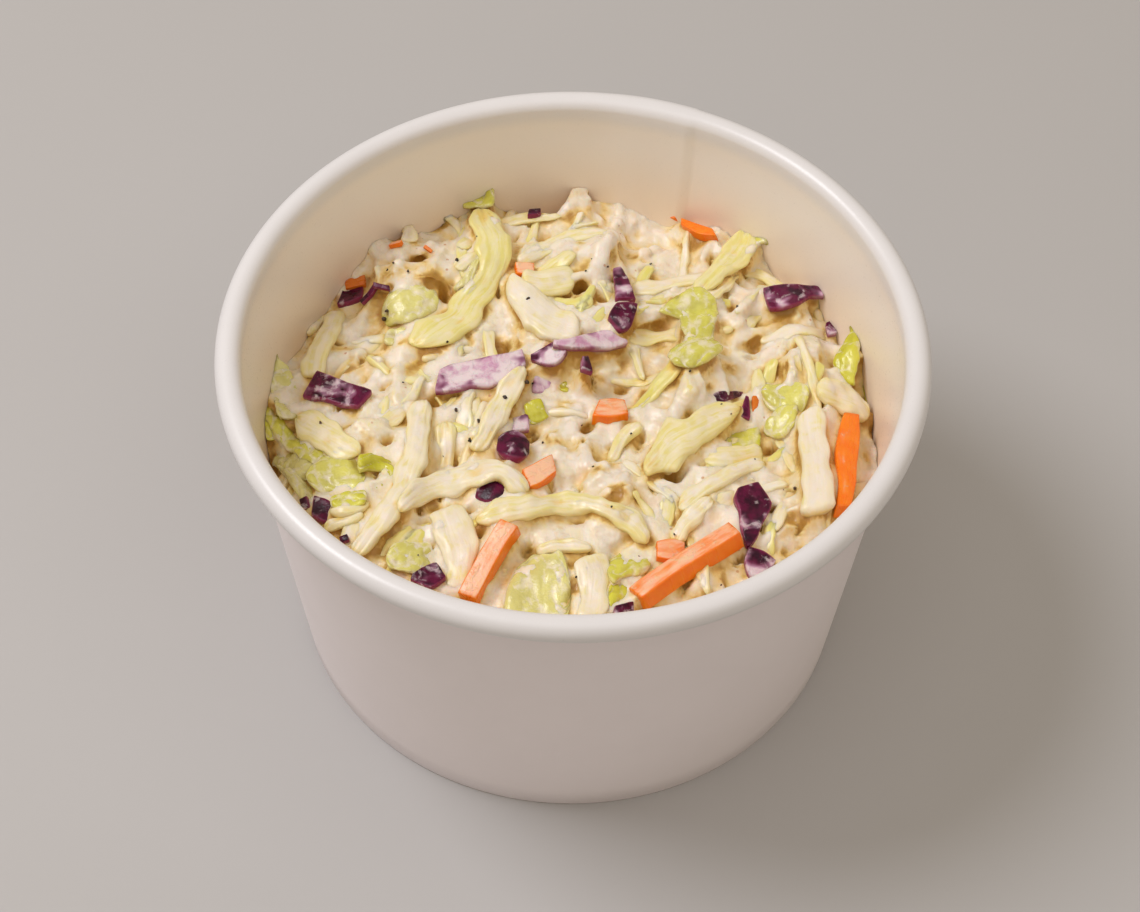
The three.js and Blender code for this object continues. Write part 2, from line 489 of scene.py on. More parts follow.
# Pieces that show, from the lowest to the topmost. A row of two numbers is a place on a piece's middle,
# and one of four is a place on each of its two long edges, both in pixels of the camera's frame.
SALAD = {
    # along the left wall
    "leaf_wall_left_far": Strip("leaf", ((264, 358), (264, 385), (268, 412), (276, 440)), (1.0, 1.8, 2.0,
        2.0), 0.8, 1.0, up=(3.0, 2.4, 1.2, 0)),
    "leaf_left_low": Strip("leaf", ((272, 462, 282, 450), (290, 480, 300, 458), (318, 482, 322, 464)), 0,
        1.0, 0.55),
    "leaf_left_lowest": Strip("leaf", ((284, 476, 276, 462), (304, 500, 296, 474), (318, 508, 314, 486)),
        0, 1.0, 0.5),
    "red_left_low_small": Strip("red", ((302, 506), (310, 502)), 1.8, 1.0, coat=0.1),
    "red_left_low": Strip("red", ((311, 517, 314, 498), (324, 524, 329, 502), (331, 520, 338, 511)), 0,
        1.4, coat=0.1),
    "shred_left_low_1": Strip("shred", ((324, 528), (344, 522), (362, 512)), 2.2, 1.31, 0.4),
    "shred_left_low_2": Strip("shred", ((330, 512), (350, 510), (368, 502)), 2.4, 1.31, 0.3),
    "red_speck_left_low": Strip("red", ((340, 541), (349, 538)), 1.0, 0.8, coat=0.1),
    "leaf_left_dark": Strip("leaf", ((267, 404), (281, 432), (302, 450), (324, 462)), (1.6, 2.6, 2.8,
        2.4), 1.0, 0.85),
    "shred_left_pale": Strip("shred", ((291, 424, 300, 410), (308, 442, 322, 416), (328, 454, 343, 430),
        (354, 462, 366, 446)), 0, 1.3, 0.5),
    "leaf_wall_left": Strip("leaf", ((267, 353, 270, 352), (265, 368, 287, 365), (265, 385, 295, 384),
        (270, 404, 299, 402), (280, 424, 306, 414)), 0, 0.8, 0.6, up=(4.2, 3.4, 2.2, 1, 0), bank=24),
    "leaf_green_left_low": Strip("leaf", ((330, 508, 330, 497), (350, 512, 350, 490),
        (366, 508, 368, 488)), 0, 1.0, 0.9),
    "leaf_green_left": Strip("leaf", ((312, 492, 302, 472), (328, 498, 324, 462), (348, 492, 346, 454),
        (366, 490, 364, 456)), 0, 1.1, 0.75, coat=0.3),
    "leaf_green_curl": Strip("leaf", ((358, 474, 356, 458), (374, 470, 374, 455), (388, 474, 392, 460),
        (388, 482, 397, 478)), 0, 1.2, 0.95, coat=0.15, up=0.4),
    "leaf_green_curl_low": Strip("leaf", ((362, 494, 360, 480), (374, 496, 372, 482),
        (384, 490, 382, 481)), 0, 1.0, 0.95, coat=0.2),
    # top left
    "slab_small_left": Strip("slab", ((306, 336, 318, 333), (311, 317, 326, 317)), 0, 1.03, 0.15),
    "shred_gap_left": Strip("shred", ((300, 388), (316, 366), (330, 340)), 2.4, 1.31, 0.3),
    "slab_shade_left": Strip("slab", ((300, 378, 322, 377), (304, 358, 328, 358), (314, 338, 337, 340),
        (329, 311, 346, 313)), 0, 1.29, 0.4, up=0.2),
    "red_left_back": Strip("red", ((337, 307, 343, 292), (350, 307, 353, 287), (364, 300, 364, 287)), 0,
        1.4, coat=0.1),
    "carrot_shade_left": Strip("carrot", ((346, 291, 346, 282), (366, 286, 366, 277)), 0, 1.2, 0.9,
        coat=0.1, up=-0.4),
    "slab_upright_left": Strip("slab", ((400, 243, 418, 242), (403, 224, 414, 224)), 0, 0.86, 0.15,
        up=(0.6, 2.6)),
    "cream_shred_left_1": Strip("cream", ((326, 374), (334, 350), (346, 328), (360, 308)), (2.4, 2.8, 2.6,
        2.2), 1.7, 0.05),
    "cream_shred_left_2": Strip("cream", ((342, 346), (362, 330), (386, 318)), (2.4, 2.6, 2.2), 1.6, 0.4),
    "cream_shred_left_3": Strip("cream", ((348, 384), (350, 366), (356, 352)), (2.2, 2.4, 2.0), 1.6,
        0.05),
    "cream_shred_left_4": Strip("cream", ((374, 376), (382, 356), (376, 334)), (2.6, 3.0, 2.4), 1.8,
        0.05),
    "cream_shred_left_5": Strip("cream", ((366, 304), (384, 294), (402, 288)), (2.2, 2.6, 2.4), 1.8,
        0.05),
    "red_sliver_left_1": Strip("red", ((361, 303), (370, 294), (376, 285)), 0.9, 0.9, coat=0.3, up=0.3),
    "red_sliver_left_2": Strip("red", ((373, 285), (390, 289)), 0.9, 0.9, coat=0.0, up=0.3),
    "carrot_block_1": Strip("carrot", ((390, 246), (402, 243)), 0.8, 0.7, coat=0.6, up=0.2),
    "carrot_block_2": Strip("carrot", ((424, 246), (432, 252)), 0.5, 0.5, coat=0.5, up=0.4),
    "cream_block_1": Strip("cream", ((344, 281, 349, 262), (358, 283, 361, 250), (372, 276, 378, 246),
        (396, 266, 400, 244), (420, 260, 422, 245), (434, 262, 434, 254)), 0, 3.0, 0.02, up=2.2),
    "cream_block_2": Strip("cream", ((376, 286, 372, 266), (396, 290, 392, 264), (416, 284, 412, 264),
        (430, 276, 426, 260)), 0, 2.6, 0.05, up=1.2),
    "leaf_swirl_low": Strip("leaf", ((382, 348, 386, 328), (410, 348, 408, 326), (438, 340, 430, 316),
        (452, 330, 442, 312)), 0, 1.2, 0.55, coat=0.45),
    "leaf_swirl": Strip("leaf", ((386, 330, 380, 310), (404, 320, 398, 292), (422, 314, 420, 288),
        (441, 312, 438, 296)), 0, 1.2, 0.6, coat=0.45, up=0.3),
    "cream_shred_diagonal_back": Strip("cream", ((464, 212), (458, 238), (442, 262), (420, 280),
        (400, 294)), (2.2, 3.0, 3.4, 3.2, 2.4), 1.9, 0.05, up=0.3),
    "shred_bridge_back": Strip("shred", ((455, 268), (468, 260), (482, 254)), (1.6, 1.9, 1.6), 1.31, 0.2),
    "leaf_long_side": Strip("leaf", ((452, 290, 460, 282), (470, 282, 476, 262), (480, 264, 484, 246)), 0,
        1.2, 0.5),
    # back
    "red_back": Strip("red", ((527, 218, 529, 211), (541, 216, 541, 210)), 0, 1.2, coat=0.05, up=-0.2),
    "cream_back_low": Strip("cream", ((514, 264, 512, 242), (535, 258, 535, 236), (562, 252, 560, 234),
        (598, 250, 596, 232)), 0, 2.2, 0.1),
    "cream_back_left": Strip("cream", ((500, 240, 500, 212), (528, 244, 528, 221), (558, 238, 556, 214),
        (578, 232, 574, 212)), 0, 2.6, 0.03, up=0.8),
    "cream_back_right": Strip("cream", ((594, 252, 592, 205), (612, 250, 614, 204), (634, 240, 632, 205),
        (650, 236, 646, 212)), 0, 2.6, 0.03, up=0.8),
    "cream_back_lump": Strip("cream", ((566, 226, 565, 200), (578, 228, 578, 194), (590, 226, 591, 200)),
        0, 2.6, 0.02, up=1.8),
    "carrot_stain_back": Strip("carrot", ((516, 276, 514, 264), (534, 278, 534, 265)), 0, 1.2, coat=0.95),
    "slab_yellow_back": Strip("slab", ((524, 290, 520, 272), (548, 296, 546, 270), (576, 290, 574, 266)),
        0, 1.21, 0.55),
    "cream_brown_back": Strip("cream", ((572, 300), (584, 282), (592, 262)), (3.0, 3.6, 3.0), 1.8, 0.15),
    "cream_shred_white_back": Strip("cream", ((540, 274), (562, 264), (586, 256), (604, 240)), (1.8, 2.4,
        2.6, 2.2), 1.7, 0.05, up=0.4),
    "cream_shred_back_ridge": Strip("cream", ((590, 298), (594, 276), (600, 254), (616, 234)), (1.8, 2.2,
        2.6, 2.4), 1.7, 0.05, up=0.5),
    "cream_back_middle": Strip("cream", ((632, 272, 630, 248), (648, 270, 646, 246),
        (660, 262, 658, 250)), 0, 2.0, 0.05),
    "cream_centre_back_1": Strip("cream", ((560, 316), (584, 302), (606, 302)), (3.0, 3.4, 2.8), 1.8,
        0.05),
    "cream_centre_back_2": Strip("cream", ((586, 322), (598, 312), (604, 322)), (2.8, 3.0, 2.6), 1.8,
        0.05),
    "leaf_tip_back": Strip("leaf", ((461, 206, 462, 197), (478, 210, 478, 190), (494, 207, 496, 187)), 0,
        0.9, 0.85, coat=0.2, up=(3.0, 3.8, 4.0)),
    "shred_long_back": Strip("shred", ((464, 210, 496, 206), (470, 228, 505, 226), (479, 250, 512, 250),
        (474, 276, 503, 276), (454, 296, 492, 302), (430, 318, 478, 326), (394, 342, 440, 352)), 0, 1.5,
        0.8, coat=0.5, up=(2.6, 1.6, 0.8, 0.3, 0.1, 0, 0)),
    "slab_core": Strip("slab", ((503, 292, 513, 272), (516, 313, 529, 284), (532, 331, 548, 301),
        (556, 342, 567, 311), (582, 343, 581, 322)), 0, 1.98, 0.0, coat=0.3, up=0.5),
    # back right
    "carrot_back_1": Strip("carrot", ((682, 228, 682, 221), (700, 238, 700, 227), (718, 239, 714, 231)),
        0, 1.6, coat=0.1),
    "carrot_back_2": Strip("carrot", ((664, 221, 664, 217), (677, 221, 677, 217)), 0, 1.4, coat=0.05),
    "cream_right_1": Strip("cream", ((664, 236, 662, 222), (684, 246, 682, 226), (700, 256, 698, 238),
        (720, 256, 718, 240)), 0, 2.2, 0.05),
    "cream_right_2": Strip("cream", ((660, 300), (674, 276), (690, 254), (706, 246)), (3.6, 4.4, 4.4,
        3.4), 2.2, 0.08),
    "cream_right_3": Strip("cream", ((640, 320), (646, 296), (660, 276)), (3.2, 3.6, 3.0), 2.0, 0.03),
    "cream_right_4": Strip("cream", ((742, 300, 737, 276), (758, 294, 755, 266), (773, 286, 770, 266)), 0,
        2.3, 0.03),
    "shred_right_pocket": Strip("shred", ((706, 300), (722, 286), (734, 272)), 2.2, 1.31, 0.35),
    "leaf_hook_tip": Strip("leaf", ((752, 244, 754, 230), (765, 244, 764, 230), (776, 238, 774, 230)), 0,
        1.0, 0.8, coat=0.1, up=(3.0, 3.6, 3.6)),
    "shred_hook": Strip("shred", ((739, 226, 752, 226), (730, 243, 757, 248), (714, 258, 741, 269),
        (699, 276, 720, 285), (690, 291, 706, 294)), 0, 1.2, 0.8, coat=0.4, up=(4.2, 2.6, 1.0, 0.2, 0)),
    "cream_far_right_1": Strip("cream", ((738, 330, 742, 302), (770, 337, 772, 312), (802, 332, 800, 310),
        (831, 322, 827, 307)), 0, 2.2, 0.1),
    "cream_far_right_2": Strip("cream", ((716, 340), (744, 336), (772, 340), (800, 344)), (2.4, 3.0, 3.0,
        2.6), 1.8, 0.2),
    "red_right_back": Strip("red", ((769, 311, 762, 291), (783, 309, 778, 288), (797, 307, 799, 286),
        (811, 297, 811, 287), (824, 298, 819, 288)), 0, 1.3, coat=0.5, up=(0.5, 0.6, 0.9, 1.3, 1.7)),
    "red_shade_right": Strip("red", ((827, 337, 825, 323), (836, 336, 834, 320)), 0, 0.9, coat=0.45),
    "leaf_wall_right_low": Strip("leaf", ((860, 366), (866, 392), (872, 412)), (1.4, 1.8, 1.6), 0.8, 0.9,
        coat=0.0),
    "leaf_wall_right": Strip("leaf", ((849, 330, 857, 323), (841, 347, 860, 346), (834, 366, 858, 366),
        (843, 382, 855, 388)), 0, 0.8, 1.0, coat=0.05, up=(4.2, 3.0, 1.6, 0.4), bank=-25),
    "leaf_crinkle_back": Strip("leaf", ((668, 296, 700, 288), (662, 308, 714, 298), (682, 318, 712, 312),
        (678, 332, 723, 322), (684, 344, 712, 338), (668, 356, 719, 350), (676, 369, 704, 368)), 0, 1.3,
        0.8, coat=0.35, up=(0, 0.9, 0.1, 0.9, 0.1, 0.9, 0)),
    "cream_leaf_fringe": Strip("cream", ((704, 304), (724, 320), (744, 328)), (2.2, 2.8, 2.4), 1.6, 0.2),
    # left centre
    "cream_left_1": Strip("cream", ((342, 392), (356, 378), (366, 372)), (2.6, 3.0, 2.6), 1.8, 0.03),
    "cream_left_2": Strip("cream", ((386, 382), (396, 362), (412, 352)), (3.0, 3.4, 3.0), 1.9, 0.03),
    "cream_shred_left_6": Strip("cream", ((374, 404), (400, 388), (436, 378)), (2.2, 2.8, 2.4), 1.7,
        0.03),
    "cream_shred_left_7": Strip("cream", ((364, 432), (392, 412), (420, 394)), (2.4, 3.0, 2.6), 1.7, 0.1),
    "cream_shred_left_8": Strip("cream", ((376, 452), (396, 438), (408, 422)), 2.6, 1.6, 0.1),
    "cream_knob_left_1": Strip("cream", ((331, 406), (330, 420)), 1.9, 1.8, 0.05),
    "cream_knob_left_2": Strip("cream", ((344, 410), (343, 430)), 1.9, 1.8, 0.05),
    "cream_knob_left_3": Strip("cream", ((350, 434), (362, 424)), 2.6, 2.0, 0.03),
    "red_left": Strip("red", ((301, 396, 318, 373), (327, 404, 334, 379), (358, 409, 374, 393)), 0, 1.2,
        coat=0.5, up=0.8),
    # centre
    "red_brown_centre": Strip("red", ((475, 498, 480, 486), (488, 503, 494, 480), (499, 501, 502, 486),
        (511, 494, 508, 490)), 0, 1.2, coat=0.1, up=-0.3),
    "leaf_centre": Strip("leaf", ((524, 404, 541, 398), (531, 426, 548, 420)), 0, 0.9, 1.0, coat=0.0),
    "cream_white_centre": Strip("cream", ((548, 420), (560, 404), (574, 398)), (2.6, 2.8, 2.2), 1.6, 0.1),
    "red_grey_centre_low": Strip("red", ((512, 436, 512, 418), (530, 432, 528, 414)), 0, 1.2, coat=0.9),
    "red_grey_centre": Strip("red", ((531, 392, 534, 374), (540, 395, 544, 374), (551, 393, 551, 386)), 0,
        1.2, coat=0.8),
    "leaf_grey_centre": Strip("leaf", ((560, 392), (571, 374)), 2.2, 0.9, 1.0, coat=0.0),
    "red_dark_centre": Strip("red", ((543, 374, 547, 364), (551, 388, 557, 365), (553, 393, 564, 371)), 0,
        1.3, coat=0.05),
    "red_branch": Strip("red", ((531, 362, 531, 357), (548, 366, 546, 349), (560, 361, 556, 343),
        (567, 352, 565, 347)), 0, 1.2, coat=0.75, up=0.3),
    "red_white_low": Strip("red", ((553, 346, 553, 341), (572, 350, 572, 340), (590, 350, 588, 334),
        (607, 350, 606, 331), (618, 348, 616, 338), (627, 345, 625, 342)), 0, 1.2, coat=0.97, up=0.7),
    "red_chip_centre": Strip("red", ((580, 371, 581, 358), (594, 373, 587, 357)), 0, 1.1, coat=0.65),
    "red_back_upper": Strip("red", ((615, 303, 635, 301), (614, 284, 629, 281), (613, 271, 621, 269)), 0,
        1.4, coat=0.6),
    "red_back_lower": Strip("red", ((607, 317, 615, 304), (612, 326, 625, 303), (619, 333, 637, 304),
        (631, 330, 634, 314)), 0, 1.4, coat=0.4, up=0.3),
    "cream_lavender_chip": Strip("cream", ((472, 424), (478, 406), (480, 390)), (2.0, 2.4, 2.2), 1.6,
        0.0),
    "red_pink_strip": Strip("red", ((434, 393, 439, 373), (457, 393, 456, 365), (474, 388, 474, 361),
        (492, 387, 490, 359), (509, 377, 508, 356), (527, 366, 523, 351)), 0, 1.3, coat=0.9, up=0.5),
    "shred_arch_centre": Strip("shred", ((512, 368, 531, 364), (498, 386, 523, 386), (488, 406, 512, 408),
        (477, 430, 500, 432), (464, 450, 488, 454)), 0, 1.69, 0.25, coat=0.6, up=(0.6, 0.8, 0.6, 0.3, 0)),
    "red_centre": Strip("red", ((498, 456, 500, 443), (506, 462, 508, 435), (516, 465, 519, 434),
        (527, 458, 528, 446)), 0, 2.2, coat=0.5, up=0.2),
    "carrot_stain_centre": Strip("carrot", ((529, 492, 521, 472), (540, 488, 536, 464),
        (556, 476, 552, 456)), 0, 1.6, coat=0.97, up=0.1),
    "cream_centre_1": Strip("cream", ((600, 372), (596, 396), (580, 420), (556, 440)), (2.8, 3.4, 3.6,
        3.2), 2.0, 0.05),
    "cream_centre_2": Strip("cream", ((530, 462), (546, 450), (560, 440)), (3.4, 4.0, 3.2), 2.0, 0.03),
    "cream_centre_3": Strip("cream", ((560, 486, 552, 446), (576, 488, 572, 434), (593, 478, 590, 442)),
        0, 2.2, 0.08),
    "cream_centre_4": Strip("cream", ((586, 496, 584, 472), (604, 500, 602, 464), (622, 486, 620, 462)),
        0, 2.4, 0.05, up=0.5),
    "cream_centre_5": Strip("cream", ((606, 518, 604, 494), (624, 520, 624, 474), (640, 516, 642, 476),
        (660, 518, 656, 484), (672, 508, 670, 486)), 0, 3.0, 0.04, up=1.1),
    "cream_centre_6": Strip("cream", ((582, 458), (600, 444), (622, 430)), (2.4, 3.0, 2.4), 1.9, 0.15,
        up=0.3),
    "shred_centre_low": Strip("shred", ((640, 424), (622, 440), (610, 462)), (1.6, 2.2, 1.8), 1.3, 0.5,
        up=0.2),
    "carrot_centre": Strip("carrot", ((591, 421, 599, 403), (611, 423, 612, 402), (629, 419, 625, 404)),
        0, 2.2, coat=0.8, up=0.2),
    "cream_mid_1": Strip("cream", ((610, 342), (620, 366), (634, 388)), (3.0, 3.6, 3.2), 1.8, 0.05),
    "cream_mid_2": Strip("cream", ((646, 340), (652, 364), (672, 382), (700, 384)), (3.0, 3.8, 4.0, 3.2),
        2.0, 0.06),
    "cream_mid_3": Strip("cream", ((634, 402), (660, 398), (690, 398), (716, 390)), (3.4, 4.0, 3.8, 2.6),
        2.0, 0.03),
    "cream_mid_4": Strip("cream", ((636, 420), (662, 416), (684, 412)), (2.2, 2.8, 2.2), 1.6, 0.15),
    # right
    "cream_pocket_right": Strip("cream", ((724, 384), (732, 372), (742, 366)), (2.6, 3.0, 2.4), 1.8,
        0.05),
    "carrot_shade_right": Strip("carrot", ((751, 418, 750, 398), (767, 417, 766, 397)), 0, 1.2, 0.8,
        coat=0.0, up=-0.3),
    "red_sliver_right": Strip("red", ((707, 409, 708, 403), (720, 404, 716, 393), (742, 396, 741, 393)),
        0, 1.0, coat=0.45),
    "red_dark_right": Strip("red", ((739, 417, 745, 398), (751, 420, 749, 399)), 0, 1.0, coat=0.0),
    "cream_far_right_3": Strip("cream", ((746, 398, 748, 372), (762, 392, 768, 352),
        (782, 384, 790, 346)), 0, 2.0, 0.05),
    "cream_far_right_4": Strip("cream", ((784, 384, 782, 350), (806, 386, 806, 344), (828, 384, 828, 350),
        (842, 376, 838, 362)), 0, 2.0, 0.3),
    "leaf_patch_right": Strip("leaf", ((761, 400, 760, 388), (778, 414, 780, 384), (796, 418, 804, 385),
        (806, 406, 812, 390)), 0, 1.2, 0.75, coat=0.3),
    "leaf_patch_right_low": Strip("leaf", ((764, 436, 763, 426), (782, 434, 782, 412),
        (796, 424, 800, 404)), 0, 1.1, 0.75, coat=0.3),
    "leaf_gap_right": Strip("leaf", ((724, 448, 722, 432), (744, 452, 744, 428), (762, 450, 760, 424)), 0,
        0.9, 0.9, coat=0.2, up=-0.4),
    "cream_wall_right": Strip("cream", ((866, 436), (870, 456), (866, 476)), (3.0, 3.4, 2.6), 2.0, 0.05),
    "slab_right": Strip("slab", ((814, 392, 820, 378), (830, 408, 840, 380), (852, 418, 858, 392),
        (866, 424, 872, 410)), 0, 1.63, 0.3, coat=0.6, up=0.3),
    "carrot_right": Strip("carrot", ((842, 418, 858, 418), (836, 440, 859, 440), (834, 464, 856, 464),
        (837, 486, 855, 486), (834, 514, 850, 510)), 0, 2.2, coat=0.35, up=0.3),
    "slab_white_right": Strip("slab", ((801, 411, 822, 405), (795, 436, 829, 432), (798, 464, 832, 461),
        (801, 490, 835, 487), (800, 518, 834, 512)), 0, 2.07, 0.0, coat=0.3, up=0.5),
    "cream_lower_right_1": Strip("cream", ((772, 548, 774, 520), (788, 552, 786, 504),
        (806, 546, 804, 504), (826, 530, 828, 508)), 0, 2.8, 0.02, up=0.7),
    "shred_mid_right_low": Strip("shred", ((706, 470, 700, 448), (732, 470, 728, 450),
        (764, 462, 762, 444)), 0, 1.31, 0.55, coat=0.4),
    "cream_shred_knob_mid": Strip("cream", ((672, 478), (684, 464), (692, 452)), (2.4, 3.0, 2.4), 1.8,
        0.1),
    "shred_mid_right": Strip("shred", ((737, 418, 743, 402), (717, 438, 712, 406), (697, 449, 690, 416),
        (674, 466, 662, 428), (650, 482, 640, 462)), 0, 1.9, 0.65, coat=0.45, up=0.4),
    # lower right
    "shred_lower_right_1": Strip("shred", ((680, 514, 676, 500), (706, 500, 702, 480),
        (736, 480, 734, 464), (766, 470, 764, 456)), 0, 1.5, 0.3, coat=0.5, up=0.2),
    "cream_shred_lower_right_2": Strip("cream", ((694, 484), (674, 506), (652, 532)), (2.4, 3.0, 2.6),
        1.7, 0.1),
    "shred_lower_right_3": Strip("shred", ((712, 498), (692, 518), (674, 542)), (2.2, 2.8, 2.4), 1.5, 0.3,
        coat=0.5),
    "cream_shred_lower_right_4": Strip("cream", ((728, 504), (712, 524), (700, 540)), (2.4, 3.0, 2.6),
        1.7, 0.05),
    "red_tail_right": Strip("red", ((744, 560, 748, 548), (750, 580, 764, 554), (770, 572, 776, 562)), 0,
        1.2, coat=0.6),
    "red_lower_right": Strip("red", ((737, 490, 757, 483), (733, 501, 766, 496), (736, 512, 771, 507),
        (738, 526, 763, 524), (743, 540, 757, 539), (746, 549, 750, 548)), 0, 1.5, coat=0.3, up=0.7),
    # lower left
    "shred_gold_left": Strip("shred", ((428, 440), (416, 480), (396, 516), (374, 552)), (1.8, 2.0, 2.2,
        2.2), 1.31, 0.7),
    "red_rim_left": Strip("red", ((384, 569), (406, 579)), 0.9, 0.8, coat=0.1),
    "leaf_olive_left": Strip("leaf", ((384, 568, 388, 546), (406, 578, 408, 542), (430, 574, 434, 540)),
        0, 1.1, 0.7, coat=0.4),
    "cream_shred_small_left_1": Strip("cream", ((404, 532), (422, 528)), 1.8, 1.4, 0.2),
    "cream_shred_small_left_2": Strip("cream", ((418, 516), (434, 510)), 2.2, 1.6, 0.03),
    "slab_broad_left": Strip("slab", ((426, 514, 462, 502), (436, 536, 473, 528), (444, 560, 479, 550),
        (448, 592, 468, 590)), 0, 1.38, 0.08, coat=0.7, up=0.2),
    "red_front_left": Strip("red", ((410, 581, 412, 576), (421, 586, 424, 569), (432, 590, 435, 564),
        (447, 579, 440, 568)), 0, 1.2, coat=0.45, up=0.4),
    "shred_second": Strip("shred", ((434, 424, 456, 420), (436, 450, 457, 450), (432, 478, 452, 476)), 0,
        1.5, 0.25),
    "shred_long_front": Strip("shred", ((410, 402, 434, 398), (404, 440, 430, 438), (396, 470, 422, 472),
        (382, 502, 405, 508), (345, 550, 364, 560)), 0, 1.69, 0.2, coat=0.4, up=0.6),
    "shred_arch_front": Strip("shred", ((402, 518, 394, 504), (420, 503, 413, 482), (442, 499, 438, 472),
        (463, 493, 460, 466), (480, 486, 482, 461), (496, 481, 500, 460), (508, 490, 517, 471),
        (520, 500, 534, 488)), 0, 1.69, 0.15, coat=0.4, up=(0, 0.5, 0.8, 0.9, 0.9, 0.8, 0.4, 0)),
    # front
    "shred_front_low": Strip("shred", ((536, 552), (560, 546), (592, 548)), (1.6, 2.2, 1.6), 1.3, 0.35),
    "leaf_crinkle_front": Strip("leaf", ((500, 614, 512, 570), (522, 618, 530, 560), (548, 620, 552, 558),
        (572, 620, 570, 560)), 0, 1.3, 0.6, coat=0.35),
    "slab_rib_front": Strip("slab", ((572, 560, 602, 552), (576, 578, 612, 568), (580, 598, 608, 590),
        (578, 620, 606, 618)), 0, 1.38, 0.1, coat=0.5, up=0.2),
    "leaf_green_front_low": Strip("leaf", ((608, 608, 608, 586), (624, 604, 624, 584),
        (640, 596, 640, 582)), 0, 1.0, 1.0, coat=0.0),
    "leaf_green_front": Strip("leaf", ((608, 588, 606, 556), (622, 584, 624, 549), (640, 582, 640, 532),
        (655, 564, 652, 540)), 0, 1.2, 0.85, coat=0.3, up=0.2),
    "red_front": Strip("red", ((614, 614, 614, 607), (634, 614, 632, 602)), 0, 1.0, coat=0.4),
    "cream_front_1": Strip("cream", ((534, 550, 530, 528), (550, 560, 548, 534), (564, 556, 562, 540)), 0,
        1.9, 0.05),
    "cream_front_2": Strip("cream", ((562, 558, 556, 538), (582, 556, 580, 527), (604, 550, 604, 525),
        (626, 542, 622, 528)), 0, 2.0, 0.06),
    "shred_arch_lower": Strip("shred", ((478, 528, 474, 514), (508, 522, 500, 503), (540, 517, 535, 496),
        (575, 513, 570, 495), (604, 518, 610, 499), (626, 532, 636, 512), (642, 550, 654, 536)), 0, 1.7,
        0.6, coat=0.5, up=(0, 0.4, 0.6, 0.6, 0.6, 0.3, 0)),
    "carrot_front_left": Strip("carrot", ((511, 526), (497, 547), (485, 568), (468, 600)), 2.8, 2.8,
        coat=0.85, up=0.3, bank=-6),
    "carrot_bit_front": Strip("carrot", ((656, 560, 655, 545), (671, 562, 671, 542),
        (684, 554, 684, 545)), 0, 2.0, coat=0.75),
    "cream_front_right": Strip("cream", ((692, 604, 698, 588), (720, 596, 720, 570),
        (744, 584, 742, 562)), 0, 2.6, 0.03, up=0.5),
    "carrot_front": Strip("carrot", ((637, 600), (664, 580), (692, 562), (737, 534)), 3.0, 3.0, coat=0.75,
        up=0.3, bank=27),
}

# Deep gaps that stay open between the pieces, as pixels of the camera's frame.
GAPS = (
    (363, 354), (335, 374), (386, 385), (467, 246), (464, 279), (498, 298), (548, 264), (566, 292),
    (617, 274), (648, 266), (586, 286), (712, 260), (726, 292), (752, 356), (464, 350), (508, 344),
    (450, 398), (436, 400), (464, 418), (388, 437), (426, 474), (456, 460), (534, 438), (530, 426),
    (551, 489), (580, 489), (617, 441), (616, 452), (640, 444), (692, 415), (732, 438), (668, 480),
    (707, 462), (672, 503), (773, 447), (778, 411), (822, 403), (842, 341), (838, 354), (876, 430),
    (792, 490), (862, 486), (376, 476), (470, 513), (476, 534), (483, 550), (528, 549), (578, 520),
    (612, 558), (620, 590), (650, 570), (688, 544), (642, 526), (730, 498), (740, 558), (410, 540),
    (345, 540), (590, 356), (444, 306), (622, 392),
)


# ---------------------------------------------------------------- laying the salad


BED_SHREDS = 420
FLAKES = 600  # flat shreds of the upper layer
CRUMB_AREA = 8.0  # mm2 of a dressed piece for each crumb that lies on it
LOOSE_PITS = 70  # small pits in the dressing besides the gaps that show
GAP_SHAPE = (1.5, 0.45)  # depth and half width of a gap, mm
PIT_SHAPE = (1.1, 0.36)  # and of a small pit
HEAP_SPAN = ((280, 860), (215, 600))  # of the heap across and down the frame, in pixels


def random_strip(rng):
    """A shred of random size and finish for the bed."""
    wide = rng.uniform(2.0, 3.4)
    tint = rng.choice((0.05, 0.2, 0.4, 0.6, 0.9), p=(0.3, 0.25, 0.2, 0.15, 0.1))
    return Strip("shred", (), (wide * 0.7, wide, wide * 0.8), rng.uniform(1.1, 1.9), tint, crisp=False)


def random_path(rng):
    """A gently bent path somewhere in the cup."""
    reach = (wall_inner(BED_CENTRE) - 0.5) * math.sqrt(rng.uniform(0, 1))
    turn = rng.uniform(0, TAU)
    centre = np.array((reach * math.cos(turn), reach * math.sin(turn)))
    way, across = heading(rng, centre, 0.6)
    half = rng.uniform(4, 11)
    bend = rng.normal(0, 0.28) * half
    return (centre - way * half, centre + across * bend, centre + way * half)


def heading(rng, place, loose):
    """Directions along and across a shred: the shreds round a place lie much the same way."""
    turn = 0.95 + 0.45 * waves(place[None, :], 38, 3)[0] + rng.normal(0, loose)
    return np.array((math.cos(turn), math.sin(turn))), np.array((-math.sin(turn), math.cos(turn)))


